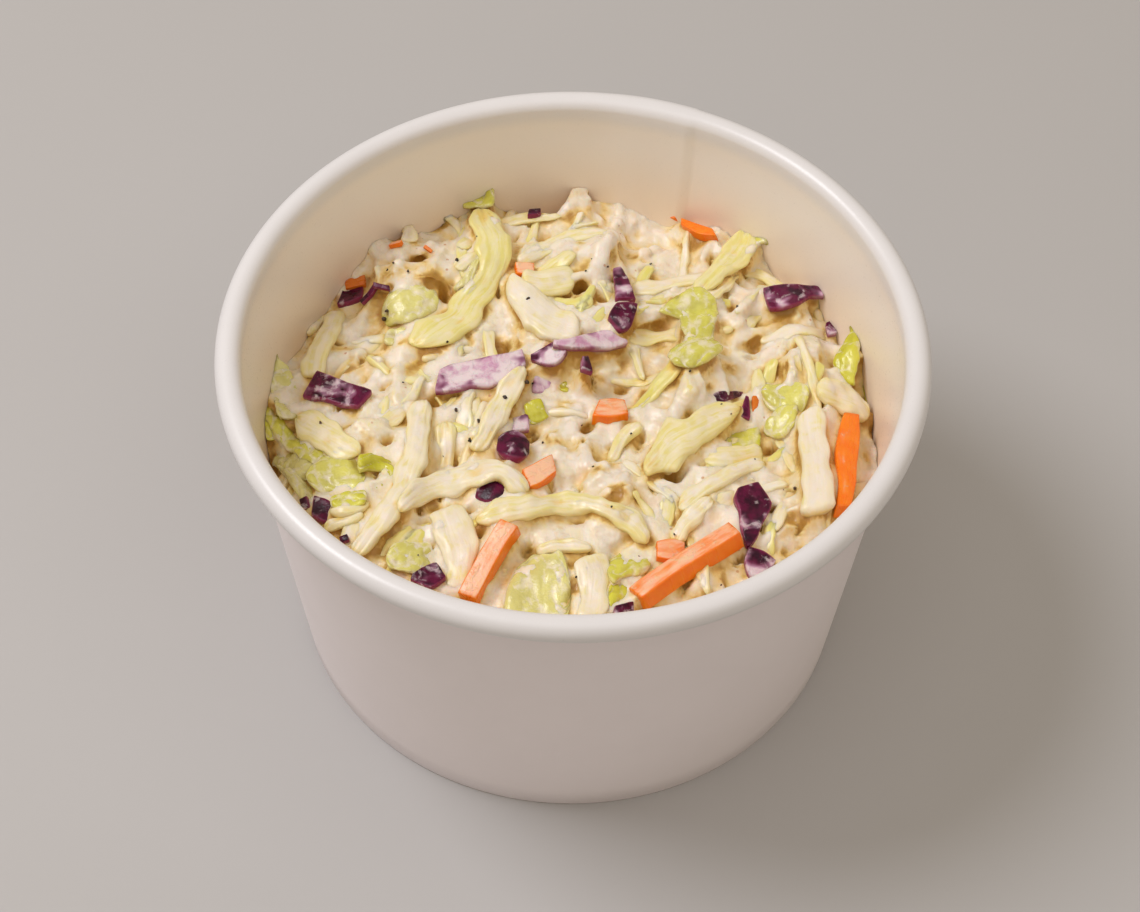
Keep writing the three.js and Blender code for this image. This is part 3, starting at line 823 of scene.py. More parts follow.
def lay_crumbs(top, piece, rng):
    """Lays small bits of cabbage on a dressed piece."""
    made = []
    for k in range(int(route_lengths(piece.middle)[-1] * piece.wide.mean() / CRUMB_AREA)):
        at = rng.integers(len(piece.middle))
        centre = piece.middle[at, :2] + piece.side[at, :2] * piece.wide[at] * rng.uniform(-0.55, 0.55)
        way, across = heading(rng, centre, 0.5)
        small = rng.uniform() < (0.85 if piece.strip.kind == "cream" else 0.6)
        half = rng.uniform(0.9, 2.3) if small else rng.uniform(2.0, 5.5)
        wide = rng.uniform(1.3, 2.8) if small else rng.uniform(1.1, 2.4)
        tint = min(piece.strip.tint * rng.uniform(0.3, 2.2) + rng.choice((0, 0.3), p=(0.6, 0.4)), 1)
        strip = Strip("crumb" if small else "thread", (), (wide * 0.6, wide, wide * 0.7),
                      rng.uniform(0.7, 1.2), tint, crisp=not small and rng.uniform() < 0.3, up=-0.1)
        path = (centre - way * half, centre + across * rng.normal(0, 0.2), centre + way * half)
        crumb = lay_anywhere(top, strip, path, piece.seed * 31 + k)
        stamp_piece(top, crumb)
        made.append(crumb)
    return made


def random_flake(rng):
    """A broad flat shred of the upper layer."""
    wide = rng.uniform(1.4, 3.3)
    tint = rng.choice((0.1, 0.3, 0.5, 0.75, 1.0), p=(0.2, 0.2, 0.2, 0.2, 0.2))
    widths = (wide * rng.uniform(0.3, 0.8), wide, wide * 0.85, wide * rng.uniform(0.3, 0.8))
    return Strip("flake", (), widths, rng.uniform(0.75, 1.1), tint, crisp=rng.uniform() < 0.5)


@lru_cache(maxsize=1)
def heap():
    """Lays the whole salad. Gives the heap's top and every laid piece by name."""
    top = HeapTop()
    rng = np.random.default_rng(11)
    laid = {}
    for k in range(BED_SHREDS):
        laid[f"bed_{k}"] = lay_anywhere(top, random_strip(rng), random_path(rng), k)
        stamp_piece(top, laid[f"bed_{k}"])
    moved = top.settle()
    for piece in laid.values():
        piece.middle[:, 2] += moved[top.cell(piece.middle[:, 0], piece.middle[:, 1])]
    for k in range(BED_SHREDS // 2, BED_SHREDS):
        for n, crumb in enumerate(lay_crumbs(top, laid[f"bed_{k}"], rng)):
            laid[f"bed_{k}_{n}"] = crumb
    named = [(name, strip, 1000 + k) for k, (name, strip) in enumerate(SALAD.items())]
    for name, strip, seed in named:
        if strip.kind != "cream":
            continue
        laid[name] = lay_seen(top, strip, seed)
        stamp_piece(top, laid[name])
        top.cream_over(laid[name])
        for n, crumb in enumerate(lay_crumbs(top, laid[name], rng)):
            laid[f"{name}_{n}"] = crumb
    for k in range(FLAKES):
        flake = lay_anywhere(top, random_flake(rng), random_path(rng), 5000 + k)
        if top.creamy[top.cell(flake.middle[:, 0], flake.middle[:, 1])].mean() < 0.6:
            laid[f"flake_{k}"] = flake
            stamp_piece(top, flake)
    for name, strip, seed in named:
        if strip.kind != "cream":
            laid[name] = lay_seen(top, strip, seed)
            stamp_piece(top, laid[name])
    top.carved = top.carve(sight_lines(GAPS), *GAP_SHAPE, rng)
    pits = np.column_stack([rng.uniform(low, high, LOOSE_PITS) for low, high in HEAP_SPAN])
    top.carved = np.maximum(top.carved, top.carve(sight_lines(pits), *PIT_SHAPE, rng))
    return top, laid


# ---------------------------------------------------------------- meshes


@lru_cache(maxsize=None)
def tube_template(around, rings):
    """A closed tube with unit radius: each vertex's angle and ring, and the faces."""
    bm = bmesh.new()
    bmesh.ops.create_cone(bm, cap_ends=True, segments=around, radius1=1, radius2=1, depth=1)
    upright = [e for e in bm.edges if abs(e.verts[0].co.z - e.verts[1].co.z) > 0.5]
    bmesh.ops.subdivide_edges(bm, edges=upright, cuts=rings - 2, use_grid_fill=True)
    bmesh.ops.recalc_face_normals(bm, faces=bm.faces)
    bm.verts.index_update()
    places = np.array([v.co for v in bm.verts])
    angle = np.arctan2(places[:, 1], places[:, 0])
    ring = np.rint((places[:, 2] + 0.5) * (rings - 1)).astype(int)
    faces = [tuple(v.index for v in f.verts) for f in bm.faces]
    bm.free()
    return angle, ring, faces


def ring_stations(length, half, kind, pitch):
    """Places of the rings along a piece and how far each is drawn in, closer together at the ends."""
    end = max(kind.end * half, 0.12)
    turn = np.linspace(0.12, 1, kind.nose) * math.pi / 2
    nose = end * (1 - np.cos(turn))
    draw = np.sin(turn)
    inner = max(2, int(round((length - 2 * end) / pitch)))
    middle = np.linspace(end, max(length - end, end * 1.05), inner + 1)[1:-1]
    stations = np.concatenate((nose, middle, length - nose[::-1]))
    drawn = np.concatenate((draw, np.ones(len(middle)), draw[::-1]))
    return np.clip(stations, 0, length), drawn


def sweep(laid, swell=0.0, melted=False):
    """Vertices, faces, fibre coordinates, looks and form of one laid piece."""
    kind = KINDS[laid.strip.kind]
    coarse = melted and not laid.strip.seen
    rng = np.random.default_rng(laid.seed)
    pitch = 1.2 if coarse else kind.pitch
    around = 10 if coarse else kind.around
    along = route_lengths(laid.middle)
    length = along[-1]
    stations, drawn = ring_stations(length, laid.wide.mean() / 2, kind, pitch)
    angle, ring, faces = tube_template(around, len(stations))
    at = stations[ring]

    def here(rows):
        if rows.ndim == 1:
            return np.interp(at, along, rows)
        return np.stack([np.interp(at, along, rows[:, k]) for k in range(3)], axis=1)

    c, s = np.cos(angle), np.sin(angle)
    across = np.sign(c) * np.abs(c) ** kind.square
    rise = np.sign(s) * np.abs(s) ** kind.square
    wobble = np.column_stack((at, np.zeros(len(at))))
    half_wide = here(laid.wide) / 2 * (1 + 0.8 * kind.ragged * waves(wobble, 7, laid.seed + 1)) + swell
    half_thick = here(laid.thick) / 2 * (1 + kind.ragged * waves(wobble, 6, laid.seed + 2)) + swell
    edge = 1 + kind.ragged * waves(np.column_stack((at, 3 * np.sign(c))), 5.0, laid.seed + 3)
    sideways = across * half_wide * drawn[ring] * edge
    upward = rise * half_thick * drawn[ring]
    fibre = np.column_stack((across * half_wide, at))
    flat = np.clip(rise, 0, 1) * np.sqrt(np.clip(1 - across**2, 0, 1))
    if kind.ridges and not coarse:
        ridge = np.sin(TAU * sideways / kind.ridge_pitch + 1.6 * waves(fibre, 9, laid.seed + 4))
        upward += kind.ridges * ridge * flat
    upward -= kind.channel * flat * (1 + waves(fibre, 8, laid.seed + 7))
    upward += kind.curl * rng.choice((-0.5, 1)) * half_wide * (across**2 - 0.3)
    fold = np.ones(len(at))
    if kind.warp:
        upward += kind.warp * waves(fibre, 7, laid.seed + 5)
    if kind.crinkle:
        fold = np.clip(2.2 * np.abs(waves(fibre, kind.crinkle_length, laid.seed + 8)), 0, 1)
        upward += kind.crinkle * (fold**0.8 - 0.5) * np.where(rise > 0, 1.0, 0.7)
    points = here(laid.middle) + here(laid.side) * sideways[:, None] + here(laid.over) * upward[:, None]
    if kind.lumps:
        outward = here(laid.side) * c[:, None] + here(laid.over) * s[:, None]
        points += outward * (kind.lumps * waves(points, kind.lump_length, laid.seed + 6))[:, None]
    fibre = np.column_stack((fibre, np.full(len(at), laid.seed * 3.7)))
    ends = 1 - np.clip(np.minimum(at, length - at) / np.maximum(half_wide, 0.1), 0, 1)
    form = np.column_stack((np.maximum(np.abs(across), ends), fold, np.zeros(len(at))))
    over = np.full(len(at), STAINS.get(laid.strip.kind, 0.5)) if melted else np.clip(0.5 + 0.5 * rise, 0, 1)
    look = np.column_stack((np.full(len(at), laid.strip.tint), np.full(len(at), laid.strip.coat), over,
                            np.full(len(at), rng.uniform())))
    return hold_inside(points), faces, fibre, look, form


# How pieces in the mass colour the dressing round them: 0.5 not at all, 0 purple, 1 orange.
STAINS = {"red": 0.0, "carrot": 1.0}


def join_pieces(name, parts):
    """One mesh from many swept pieces, with their fibre, look and form attributes."""
    faces = []
    start = 0
    for points, part_faces, *_ in parts:
        faces.extend(tuple(i + start for i in face) for face in part_faces)
        start += len(points)
    points, fibre, look, form = (np.vstack([part[k] for part in parts]) for k in (0, 2, 3, 4))
    mesh = bpy.data.meshes.new(name)
    mesh.from_pydata((points * MM).tolist(), [], faces)
    carry_form(mesh, points, fibre, look, form)
    return mesh


def carry_form(mesh, points, fibre, look, form):
    """Stores what the finishes read at each vertex, once its place among the others is known."""
    # This sky-hiding measure sets how much painted shade the finishes lay on each place.
    form[:, 2] = heap()[0].shut_in(points)
    for name, kind, values in (("fibre", "FLOAT_VECTOR", fibre), ("look", "FLOAT_COLOR", look),
                               ("form", "FLOAT_VECTOR", form)):
        attribute = mesh.attributes.new(name, kind, "POINT")
        field = "color" if kind == "FLOAT_COLOR" else "vector"
        attribute.data.foreach_set(field, np.asarray(values, np.float32).ravel())


def mesh_of(bm, name):
    """Ends a bmesh as a mesh with a name."""
    mesh = bpy.data.meshes.new(name)
    bm.to_mesh(mesh)
    bm.free()
    return mesh


def add_object(name, data):
    """Puts something in the scene under a name."""
    obj = bpy.data.objects.new(name, data)
    bpy.context.scene.collection.objects.link(obj)
    return obj


def add_mesh(mesh, materials=()):
    """Puts a mesh in the scene with smooth faces and its materials."""
    mesh.update()
    mesh.shade_smooth()
    for material in materials:
        mesh.materials.append(material)
    return add_object(mesh.name, mesh)


def place_piece(mesh, materials, slot, *replaced):
    """Makes a mesh a piece of the part's body, with its finish."""
    obj = add_mesh(mesh, materials if isinstance(materials, list) else [materials])
    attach(obj, BODY)
    if replaced:
        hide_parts(*replaced)


# ---------------------------------------------------------------- finishes


class Finish:
    """A node material being put together round one Principled shader."""

    def __init__(self, name):
        self.material = bpy.data.materials.new(name)
        self.material.use_nodes = True
        self.tree = self.material.node_tree
        self.shader = self.tree.nodes["Principled BSDF"]
        self.object = self.node("ShaderNodeTexCoord").outputs["Object"]

    def node(self, kind, settings=None, **inputs):
        """A node with its settings, and a value or a link for each of some inputs."""
        made = self.tree.nodes.new(kind)
        for key, value in (settings or {}).items():
            setattr(made, key, value)
        self.feed_all(made, inputs)
        return made

    def feed(self, socket, value):
        """Links a socket, or sets its value."""
        if isinstance(value, bpy.types.NodeSocket):
            self.tree.links.new(value, socket)
        else:
            socket.default_value = value

    def feed_all(self, node, inputs):
        """Feeds inputs of a node by name, with _ for each space."""
        for key, value in inputs.items():
            self.feed(node.inputs[key.replace("_", " ")], value)

    def shade(self, **inputs):
        """Feeds the Principled shader, and gives the finished material."""
        self.feed_all(self.shader, inputs)
        return self.material

    def noise(self, size, detail=3.0, rough=0.55, distortion=0.0):
        """Cloudy noise with features of a size in millimetres."""
        made = self.node("ShaderNodeTexNoise", Vector=self.object, Scale=1 / (size * MM), Detail=detail,
                         Roughness=rough, Distortion=distortion)
        return made.outputs["Fac"]

    def streaks(self, across, along, detail=3.0):
        """Noise drawn out along the fibres of a piece."""
        drawn = self.node("ShaderNodeMapping", Vector=self.attribute("fibre", "Vector"),
                          Scale=(across, along, 1.0)).outputs["Vector"]
        return self.node("ShaderNodeTexNoise", Vector=drawn, Scale=1.0, Detail=detail).outputs["Fac"]

    def ramp(self, value, low, high, start=0.0, end=1.0):
        """Maps a value from one range to another, held at both ends."""
        made = self.node("ShaderNodeMapRange", {"interpolation_type": "SMOOTHSTEP"}, Value=value,
                         From_Min=low, From_Max=high, To_Min=start, To_Max=end)
        return made.outputs["Result"]

    def mix(self, factor, a, b):
        """Mixes two colours, each given as a socket or as its red, green and blue."""
        made = self.node("ShaderNodeMix", {"data_type": "RGBA"})
        self.feed(made.inputs[0], factor)
        for socket, tone in zip(made.inputs[6:8], (a, b)):
            self.feed(socket, tone if isinstance(tone, bpy.types.NodeSocket) else (*tone, 1.0))
        return made.outputs[2]

    def wash(self, base, tone, value, low, high, most):
        """Lays a tone over a base, the more the further a value has gone from low to high."""
        return self.mix(self.ramp(value, low, high, 0.0, most), base, tone)

    def math(self, operation, *values):
        """One value from several, taken two by two from the left."""
        total = values[0]
        for value in values[1:]:
            made = self.node("ShaderNodeMath", {"operation": operation})
            self.feed(made.inputs[0], total)
            self.feed(made.inputs[1], value)
            total = made.outputs[0]
        return total

    def plus(self, *values):
        return self.math("ADD", *values)

    def minus(self, a, b):
        return self.math("SUBTRACT", a, b)

    def times(self, *values):
        return self.math("MULTIPLY", *values)

    def attribute(self, name, output):
        """An attribute of the mesh."""
        return self.node("ShaderNodeAttribute", {"attribute_name": name}).outputs[output]

    def channels(self, colour):
        """Red, green and blue of a colour."""
        return self.node("ShaderNodeSeparateColor", Color=colour).outputs[:3]

    def axes(self, vector):
        """X, Y and Z of a vector."""
        return self.node("ShaderNodeSeparateXYZ", Vector=vector).outputs[:3]

    def look(self):
        """A piece's tint, its coat of dressing, and how far a place faces up or what stains it."""
        return self.channels(self.attribute("look", "Color"))

    def form(self):
        """How near a place is to the rim of its piece, how far up a fold, and how shut in."""
        return self.axes(self.attribute("form", "Vector"))

    def film(self, amount, low, high, size=1.7):
        """Patches of dressing: how much covers each place, and their relief."""
        cover = self.ramp(self.plus(self.noise(size, 4.0, rough=0.6, distortion=0.5), amount), low, high)
        return cover, self.plus(self.times(cover, 0.5), self.times(self.noise(0.5, rough=0.6), 0.5))

    def bump(self, height, depth, strength=0.8):
        """Bump from a height, with a depth in millimetres."""
        made = self.node("ShaderNodeBump", Height=height, Distance=depth * MM, Strength=strength)
        return made.outputs["Normal"]


def board_finish(name, tone, rough, grain_depth, lining=None):
    """White paperboard with a faint fibre grain, and inside it a lining's upper tone and, lower down beside
    the salad, a warm painted shade and bounce light.
    """
    f = Finish(name)
    grain = f.noise(0.35, 5.0, rough=0.7)
    base = f.mix(f.ramp(f.noise(9.0), 0.3, 0.75, 0.0, 0.35), tone, [c * 0.95 for c in tone])
    if lining:
        _, _, up = f.axes(f.object)
        # Beside the salad the lining's lower tone is painted warm shade and bounce light.
        lining_shaded = f.mix(f.ramp(up, 34 * MM, 50 * MM), lining[1], lining[0])
        base = f.mix(f.ramp(up, (WALL_TOP - 1) * MM, (WALL_TOP + 1.5) * MM), lining_shaded, base)
    return f.shade(Base_Color=base, Roughness=f.ramp(grain, 0.2, 0.8, rough - 0.05, rough + 0.07),
                   Normal=f.bump(grain, grain_depth, 0.5))


def dressed_finish(name, sizes, streaked):
    """Cream dressing over pale cabbage: tinted by its piece, with painted golden and brown shade in the
    hollows and beside piece rims, flecked with spice.
    """
    f = Finish(name)
    tint, _, stained = f.look()
    rim, _, shut = f.form()
    streak = f.streaks(1.3, 0.16)
    blotch = f.noise(2.6)
    fine = f.noise(0.8)
    cream = f.mix(f.ramp(blotch, 0.38, 0.72), sizes.cream, sizes.cream_deep)
    leaf = f.mix(f.ramp(streak, 0.38, 0.62), sizes.rib, sizes.leaf_pale)
    show = f.times(tint, f.ramp(streak, 0.36, 0.64, 0.5, 1.4), f.ramp(blotch, 0.3, 0.65, 1.2, 0.6),
                   f.minus(1.0, f.times(rim, 0.55)))
    base = f.mix(show, cream, leaf)
    # Painted shade: golden towards the rims of the pieces, and golden to brown in the hollows.
    base = f.wash(base, sizes.shade_gold, rim, 0.4, 1.0, 0.16)
    base = f.wash(base, sizes.shade_gold, shut, 0.2, 0.6, 0.75)
    base = f.wash(base, sizes.shade_brown, shut, 0.45, 0.72, 0.9)
    base = f.wash(base, sizes.stain, f.noise(5.5, 2.0), 0.58, 0.74, 0.35)
    base = f.wash(base, sizes.carrot_film, stained, 0.6, 1.0, 0.55)
    base = f.wash(base, sizes.red_cream, stained, 0.4, 0.0, 0.6)
    spots = f.node("ShaderNodeTexVoronoi", Vector=f.object, Scale=1 / (2.3 * MM)).outputs
    spot = f.times(f.ramp(spots["Distance"], 0.06, 0.13, 1.0, 0.0),
                   f.ramp(f.channels(spots["Color"])[0], 0.66, 0.7), 0.65)
    base = f.mix(spot, base, sizes.spice)
    height = f.plus(f.times(fine, 0.8), f.times(streak, 0.5 * streaked), f.times(f.noise(0.35, 2.0), 0.3))
    return f.shade(Base_Color=base, Roughness=f.ramp(fine, 0.3, 0.7, 0.26, 0.46),
                   Normal=f.bump(height, 0.2), Subsurface_Weight=0.55,
                   Subsurface_Radius=(0.85, 0.62, 0.42), Subsurface_Scale=0.9 * MM, IOR=1.4,
                   Coat_Weight=0.25, Coat_Roughness=0.2)


def shred_finish(name, sizes):
    """White cabbage shreds: pale and streaked yellow-green along their fibres, with dressing in patches,
    painted golden shade in the hollows and painted yellow-green shade on their flanks.
    """
    f = Finish(name)
    tint, _, _ = f.look()
    rim, _, shut = f.form()
    comb = f.streaks(1.9, 0.13, detail=2.0)
    flesh = f.mix(f.ramp(f.streaks(1.5, 0.14), 0.4, 0.6), sizes.rib, sizes.leaf_pale)
    flesh = f.wash(flesh, sizes.leaf, tint, 0.55, 1.0, 0.55)
    smear = f.minus(f.plus(f.noise(2.2, 4.0, distortion=0.4), f.times(comb, 0.5)), f.times(tint, 0.3))
    coating = f.mix(f.ramp(f.noise(3.4), 0.3, 0.7), sizes.cream, sizes.cream_deep)
    base = f.wash(flesh, coating, smear, 0.5, 0.8, 0.9)
    # Painted shade: golden to brown in the hollows.
    base = f.wash(base, sizes.shade_gold, shut, 0.1, 0.55, 0.7)
    base = f.wash(base, sizes.shade_brown, shut, 0.45, 0.8, 0.8)
    film, _ = f.film(f.times(tint, -0.1), 0.45, 0.7)
    base = f.mix(f.times(film, 0.5), base, sizes.cream)
    # Painted shade: yellow-green on the flanks, as light passing through the thin edges would give.
    flank_shade = f.times(f.ramp(f.plus(rim, f.times(comb, 1.4)), 0.75, 1.75), f.ramp(tint, 0.0, 0.6, 0.3, 0.65))
    base = f.mix(flank_shade, base, sizes.leaf_pale)
    height = f.plus(f.times(f.noise(0.8), 0.5), f.times(comb, 0.9))
    return f.shade(Base_Color=base, Roughness=f.ramp(smear, 0.4, 0.9, 0.28, 0.42),
                   Normal=f.bump(height, 0.13), Subsurface_Weight=0.55,
                   Subsurface_Radius=(0.65, 0.54, 0.38), Subsurface_Scale=0.8 * MM, IOR=1.4,
                   Coat_Weight=0.25, Coat_Roughness=0.2)


def leaf_finish(name, sizes):
    """Green cabbage leaf: green on its bulges, pale in its creases and rims, smeared with dressing, with
    painted dark green shade in the hollows.
    """
    f = Finish(name)
    tint, coat, _ = f.look()
    rim, fold, shut = f.form()
    green = f.mix(f.ramp(f.noise(3.2), 0.3, 0.7), sizes.leaf, sizes.leaf_deep)
    show = f.times(f.ramp(fold, 0.0, 0.6, 0.5, 1.0), f.ramp(rim, 0.85, 1.0, 1.0, 0.75), f.times(tint, 1.1))
    base = f.mix(show, sizes.rib, green)
    amount = f.plus(f.times(f.minus(coat, 0.5), 0.25), f.times(f.minus(fold, 0.45), -0.22))
    film, height = f.film(amount, 0.34, 0.8, size=1.2)
    mottle = f.ramp(f.noise(0.7, 4.0, rough=0.65), 0.35, 0.7, 0.55, 1.0)
    base = f.mix(f.times(film, mottle, 0.95), base, sizes.cream)
    # Painted shade: dark green in the hollows.
    base = f.wash(base, sizes.leaf_shade, shut, 0.15, 0.6, 0.8)
    return f.shade(Base_Color=base, Roughness=f.ramp(film, 0.0, 1.0, 0.26, 0.38),
                   Normal=f.bump(height, 0.22), Subsurface_Weight=0.4,
                   Subsurface_Radius=(0.7, 0.65, 0.35), Subsurface_Scale=0.6 * MM, Coat_Weight=0.35,
                   Coat_Roughness=0.16)


def red_finish(name, sizes):
    """Red cabbage: dark purple skin, pinker cut edges and soft patches of dressing."""
    f = Finish(name)
    _, coat, over = f.look()
    rim, _, _ = f.form()
    skin = f.mix(f.ramp(f.noise(2.0, 2.0), 0.35, 0.65), sizes.red_dark, sizes.red_bright)
    skin = f.wash(skin, sizes.red_edge, rim, 0.8, 1.0, 0.6)
    smear = f.noise(3.4, 2.0, distortion=0.3)
    cover = f.plus(coat, f.times(f.minus(smear, 0.5), 1.8))
    film = f.times(f.ramp(cover, 0.45, 0.85), f.ramp(over, 0.3, 0.9, 0.3, 0.96),
                   f.ramp(rim, 0.75, 1.0, 1.0, 0.5))
    thick = f.times(f.ramp(cover, 0.6, 0.9), f.ramp(f.noise(2.2), 0.28, 0.6))
    base = f.mix(film, skin, f.mix(thick, sizes.red_film, sizes.red_cream))
    drops, froth = f.film(f.times(f.minus(cover, 0.5), 0.2), 0.54, 0.68)
    base = f.mix(f.times(drops, f.ramp(over, 0.4, 0.8), 0.55), base, sizes.red_cream)
    return f.shade(Base_Color=base, Roughness=f.ramp(smear, 0.3, 0.7, 0.22, 0.34),
                   Normal=f.bump(froth, 0.2), Specular_IOR_Level=0.3, Subsurface_Weight=0.2,
                   Subsurface_Radius=(0.9, 0.35, 0.5), Subsurface_Scale=0.9 * MM)


def carrot_finish(name, sizes):
    """Cut carrot: bright orange sides, with a pinkish film of dressing on its upper face, painted deeper
    orange shade in its hollows and painted brown shade on sticks that lie in shadow.
    """
    f = Finish(name)
    shaded, coat, over = f.look()
    rim, _, shut = f.form()
    streak = f.streaks(1.1, 0.28)
    flesh = f.mix(f.ramp(f.noise(1.8), 0.3, 0.7), sizes.carrot, sizes.carrot_deep_and_shade)
    upper = f.times(f.ramp(over, 0.86, 0.99), f.ramp(rim, 0.8, 1.0, 1.0, 0.35))
    amount = f.plus(f.times(coat, upper), f.times(f.minus(streak, 0.5), 1.1))
    base = f.wash(flesh, sizes.carrot_film, amount, 0.4, 1.0, 0.82)
    spots, froth = f.film(f.times(f.minus(amount, 0.6), 0.2), 0.6, 0.68)
    base = f.mix(f.times(spots, 0.5), base, sizes.stain)
    # Painted shade: deeper orange in the hollows, and brown on sticks that lie in shadow.
    base = f.wash(base, sizes.carrot_deep_and_shade, shut, 0.25, 0.8, 0.5)
    base = f.wash(base, sizes.carrot_shaded, shaded, 0.4, 0.9, 0.9)
    return f.shade(Base_Color=base, Roughness=f.ramp(streak, 0.3, 0.7, 0.22, 0.36),
                   Normal=f.bump(f.plus(froth, streak), 0.12), Subsurface_Weight=0.3,
                   Subsurface_Radius=(1.0, 0.4, 0.12), Subsurface_Scale=0.6 * MM)


def pepper_finish(name, sizes):
    """Ground black pepper, from black to brown."""
    f = Finish(name)
    base = f.mix(f.ramp(f.noise(0.5, 2.0), 0.4, 0.65), sizes.pepper, [c * 3.2 for c in sizes.pepper])
    return f.shade(Base_Color=base, Roughness=0.5, Normal=f.bump(f.noise(0.12, 2.0), 0.03, 1.0))


# ---------------------------------------------------------------- settings


def length(name, description, default_mm):
    """A size that can be set, with its default in millimetres."""
    return FloatProperty(name=name, description=description, default=default_mm * MM, unit="LENGTH",
                         precision=4)


def colour(name, description, default):
    return FloatVectorProperty(name=name, description=description, default=default, subtype="COLOR", size=3,
                               min=0, max=1)


class CupSettings(bpy.types.PropertyGroup):
    """Sizes and colours of the paper cup."""

    facets: IntProperty(name="Facets", description="Faces round the cup", default=360, min=72)
    lap: length("Seam lap", "How far the wall's two ends overlap at the side seam", 7.5)
    lap_step: length("Seam step", "How far the upper end stands proud at the seam", 0.32)
    lap_angle: FloatProperty(name="Seam angle", description="Where the side seam lies, from +X",
                             default=math.radians(68.5), subtype="ANGLE")
    white: colour("Board", "Colour of the paperboard", (0.80, 0.785, 0.80))
    plain: colour("Plain board", "Uncoated outside of the board", (0.92, 0.86, 0.89))
    coated: colour("Coated board", "Tone of the coated board inside the cup", (0.91, 0.865, 0.835))
    # Painted shade and warm bounce light from the salad, laid on the lining's lower part beside it.
    inside: colour("Deep inside", "Tone of the coated board beside the salad", (0.93, 0.80, 0.66))


class SlawSettings(bpy.types.PropertyGroup):
    """Sizes and colours of the salad."""

    voxel: length("Fineness", "Fineness of the creamy mass", 0.34)
    kept: FloatProperty(name="Kept", description="Share of the creamy mass's faces that is kept",
                        default=0.395)
    creep: length("Creep", "How far the dressing creeps into the gaps between pieces", 0.2)
    cream: colour("Cream", "Dressing where it is thick", (0.895, 0.82, 0.735))
    cream_deep: colour("Cream, thin", "Dressing where it is thin", (0.895, 0.80, 0.70))
    rib: colour("Rib", "Pale rib of the leaf", (0.90, 0.81, 0.59))
    leaf_pale: colour("Pale leaf", "Pale yellow-green leaf", (0.83, 0.73, 0.30))
    leaf: colour("Leaf", "Green leaf", (0.72, 0.69, 0.07))
    leaf_deep: colour("Leaf, deep", "Green leaf at its darkest", (0.54, 0.51, 0.02))
    # Painted shade: dark green laid into the leaves' hollows.
    leaf_shade: colour("Leaf hollow", "Green in the hollows", (0.40, 0.30, 0.01))
    # Painted shade: golden and brown tones laid into the hollows, and golden beside the rims of the pieces.
    shade_gold: colour("Hollow", "Golden tone in the hollows", (0.87, 0.585, 0.09))
    shade_brown: colour("Hollow, deep", "Brown tone of the deepest hollows", (0.46, 0.22, 0.025))
    stain: colour("Stain", "Tone where carrot has coloured the dressing", (0.88, 0.60, 0.36))
    spice: colour("Spice", "Ground spice in the dressing", (0.55, 0.22, 0.05))
    red_dark: colour("Red cabbage", "Skin of the red cabbage", (0.030, 0.002, 0.014))
    red_bright: colour("Red cabbage, bright", "Brighter patches of the skin", (0.12, 0.004, 0.040))
    red_edge: colour("Red cabbage edge", "Cut edge of the red cabbage", (0.36, 0.05, 0.13))
    red_film: colour("Red cabbage film", "Thin dressing on the red cabbage", (0.62, 0.31, 0.48))
    red_cream: colour("Red cabbage cream", "Thick dressing on the red cabbage", (0.82, 0.70, 0.73))
    carrot: colour("Carrot", "Flesh of the carrot", (0.98, 0.25, 0.006))
    # Deeper flesh of the carrot, also used as painted shade in the carrot's hollows.
    carrot_deep_and_shade: colour("Carrot, deep", "Deeper flesh of the carrot", (0.96, 0.19, 0.003))
    # Painted shade: brownish carrot for sticks that lie in shadow low in the heap.
    carrot_shaded: colour("Carrot, dull", "Brownish carrot low in the heap", (0.66, 0.17, 0.015))
    carrot_film: colour("Carrot film", "Dressing on the carrot", (0.97, 0.64, 0.44))
    pepper: colour("Pepper", "Ground pepper", (0.03, 0.016, 0.009))


class StageSettings(bpy.types.PropertyGroup):
    """The floor and the light."""

    floor: colour("Floor", "Colour of the floor", (0.50, 0.49, 0.49))
    key: FloatProperty(name="Key light", description="Power of the main light", default=3.48, unit="POWER")
    fill: FloatProperty(name="Fill light", description="Strength of the light from all round", default=0.43)


# ---------------------------------------------------------------- cup


def revolved(outline, steps, closed=False):
    """A skin turned round the Z axis from [radius, height] points in millimetres."""
    bm = bmesh.new()
    verts = [bm.verts.new((r * MM, 0, z * MM)) for r, z in outline]
    for a, b in zip(verts, verts[1:] + (verts[:1] if closed else [])):
        bm.edges.new((a, b))
    bmesh.ops.spin(bm, geom=bm.verts[:] + bm.edges[:], cent=(0, 0, 0), axis=(0, 0, 1), angle=TAU,
                   steps=steps, use_merge=True)
    bmesh.ops.remove_doubles(bm, verts=bm.verts, dist=1e-7)
    bmesh.ops.recalc_face_normals(bm, faces=bm.faces)
    return bm


class BuildCupWall(bpy.types.Operator):
    """Turns the cup's wall in one sheet, rolled out at the rim and folded in at the foot"""

    bl_idname = "coleslaw.build_cup_wall"
    bl_label = "Cup Wall"

    def execute(self, context):
        s = context.scene.coleslaw_cup
        bm = revolved(wall_outline(), s.facets, closed=True)
        for vert in bm.verts:
            vert.co = lapped(vert.co / MM, s) * MM
        for face in bm.faces:
            face.material_index = 0 if is_coated(face.calc_center_median() / MM) else 1
        coated = board_finish("board_coated", s.white, 0.3, 0.02, (s.coated, s.inside))
        plain = board_finish("board_plain", s.plain, 0.55, 0.05)
        place_piece(mesh_of(bm, "cup_wall_board"), [coated, plain], "cup_board", "cup_wall")
        return {"FINISHED"}


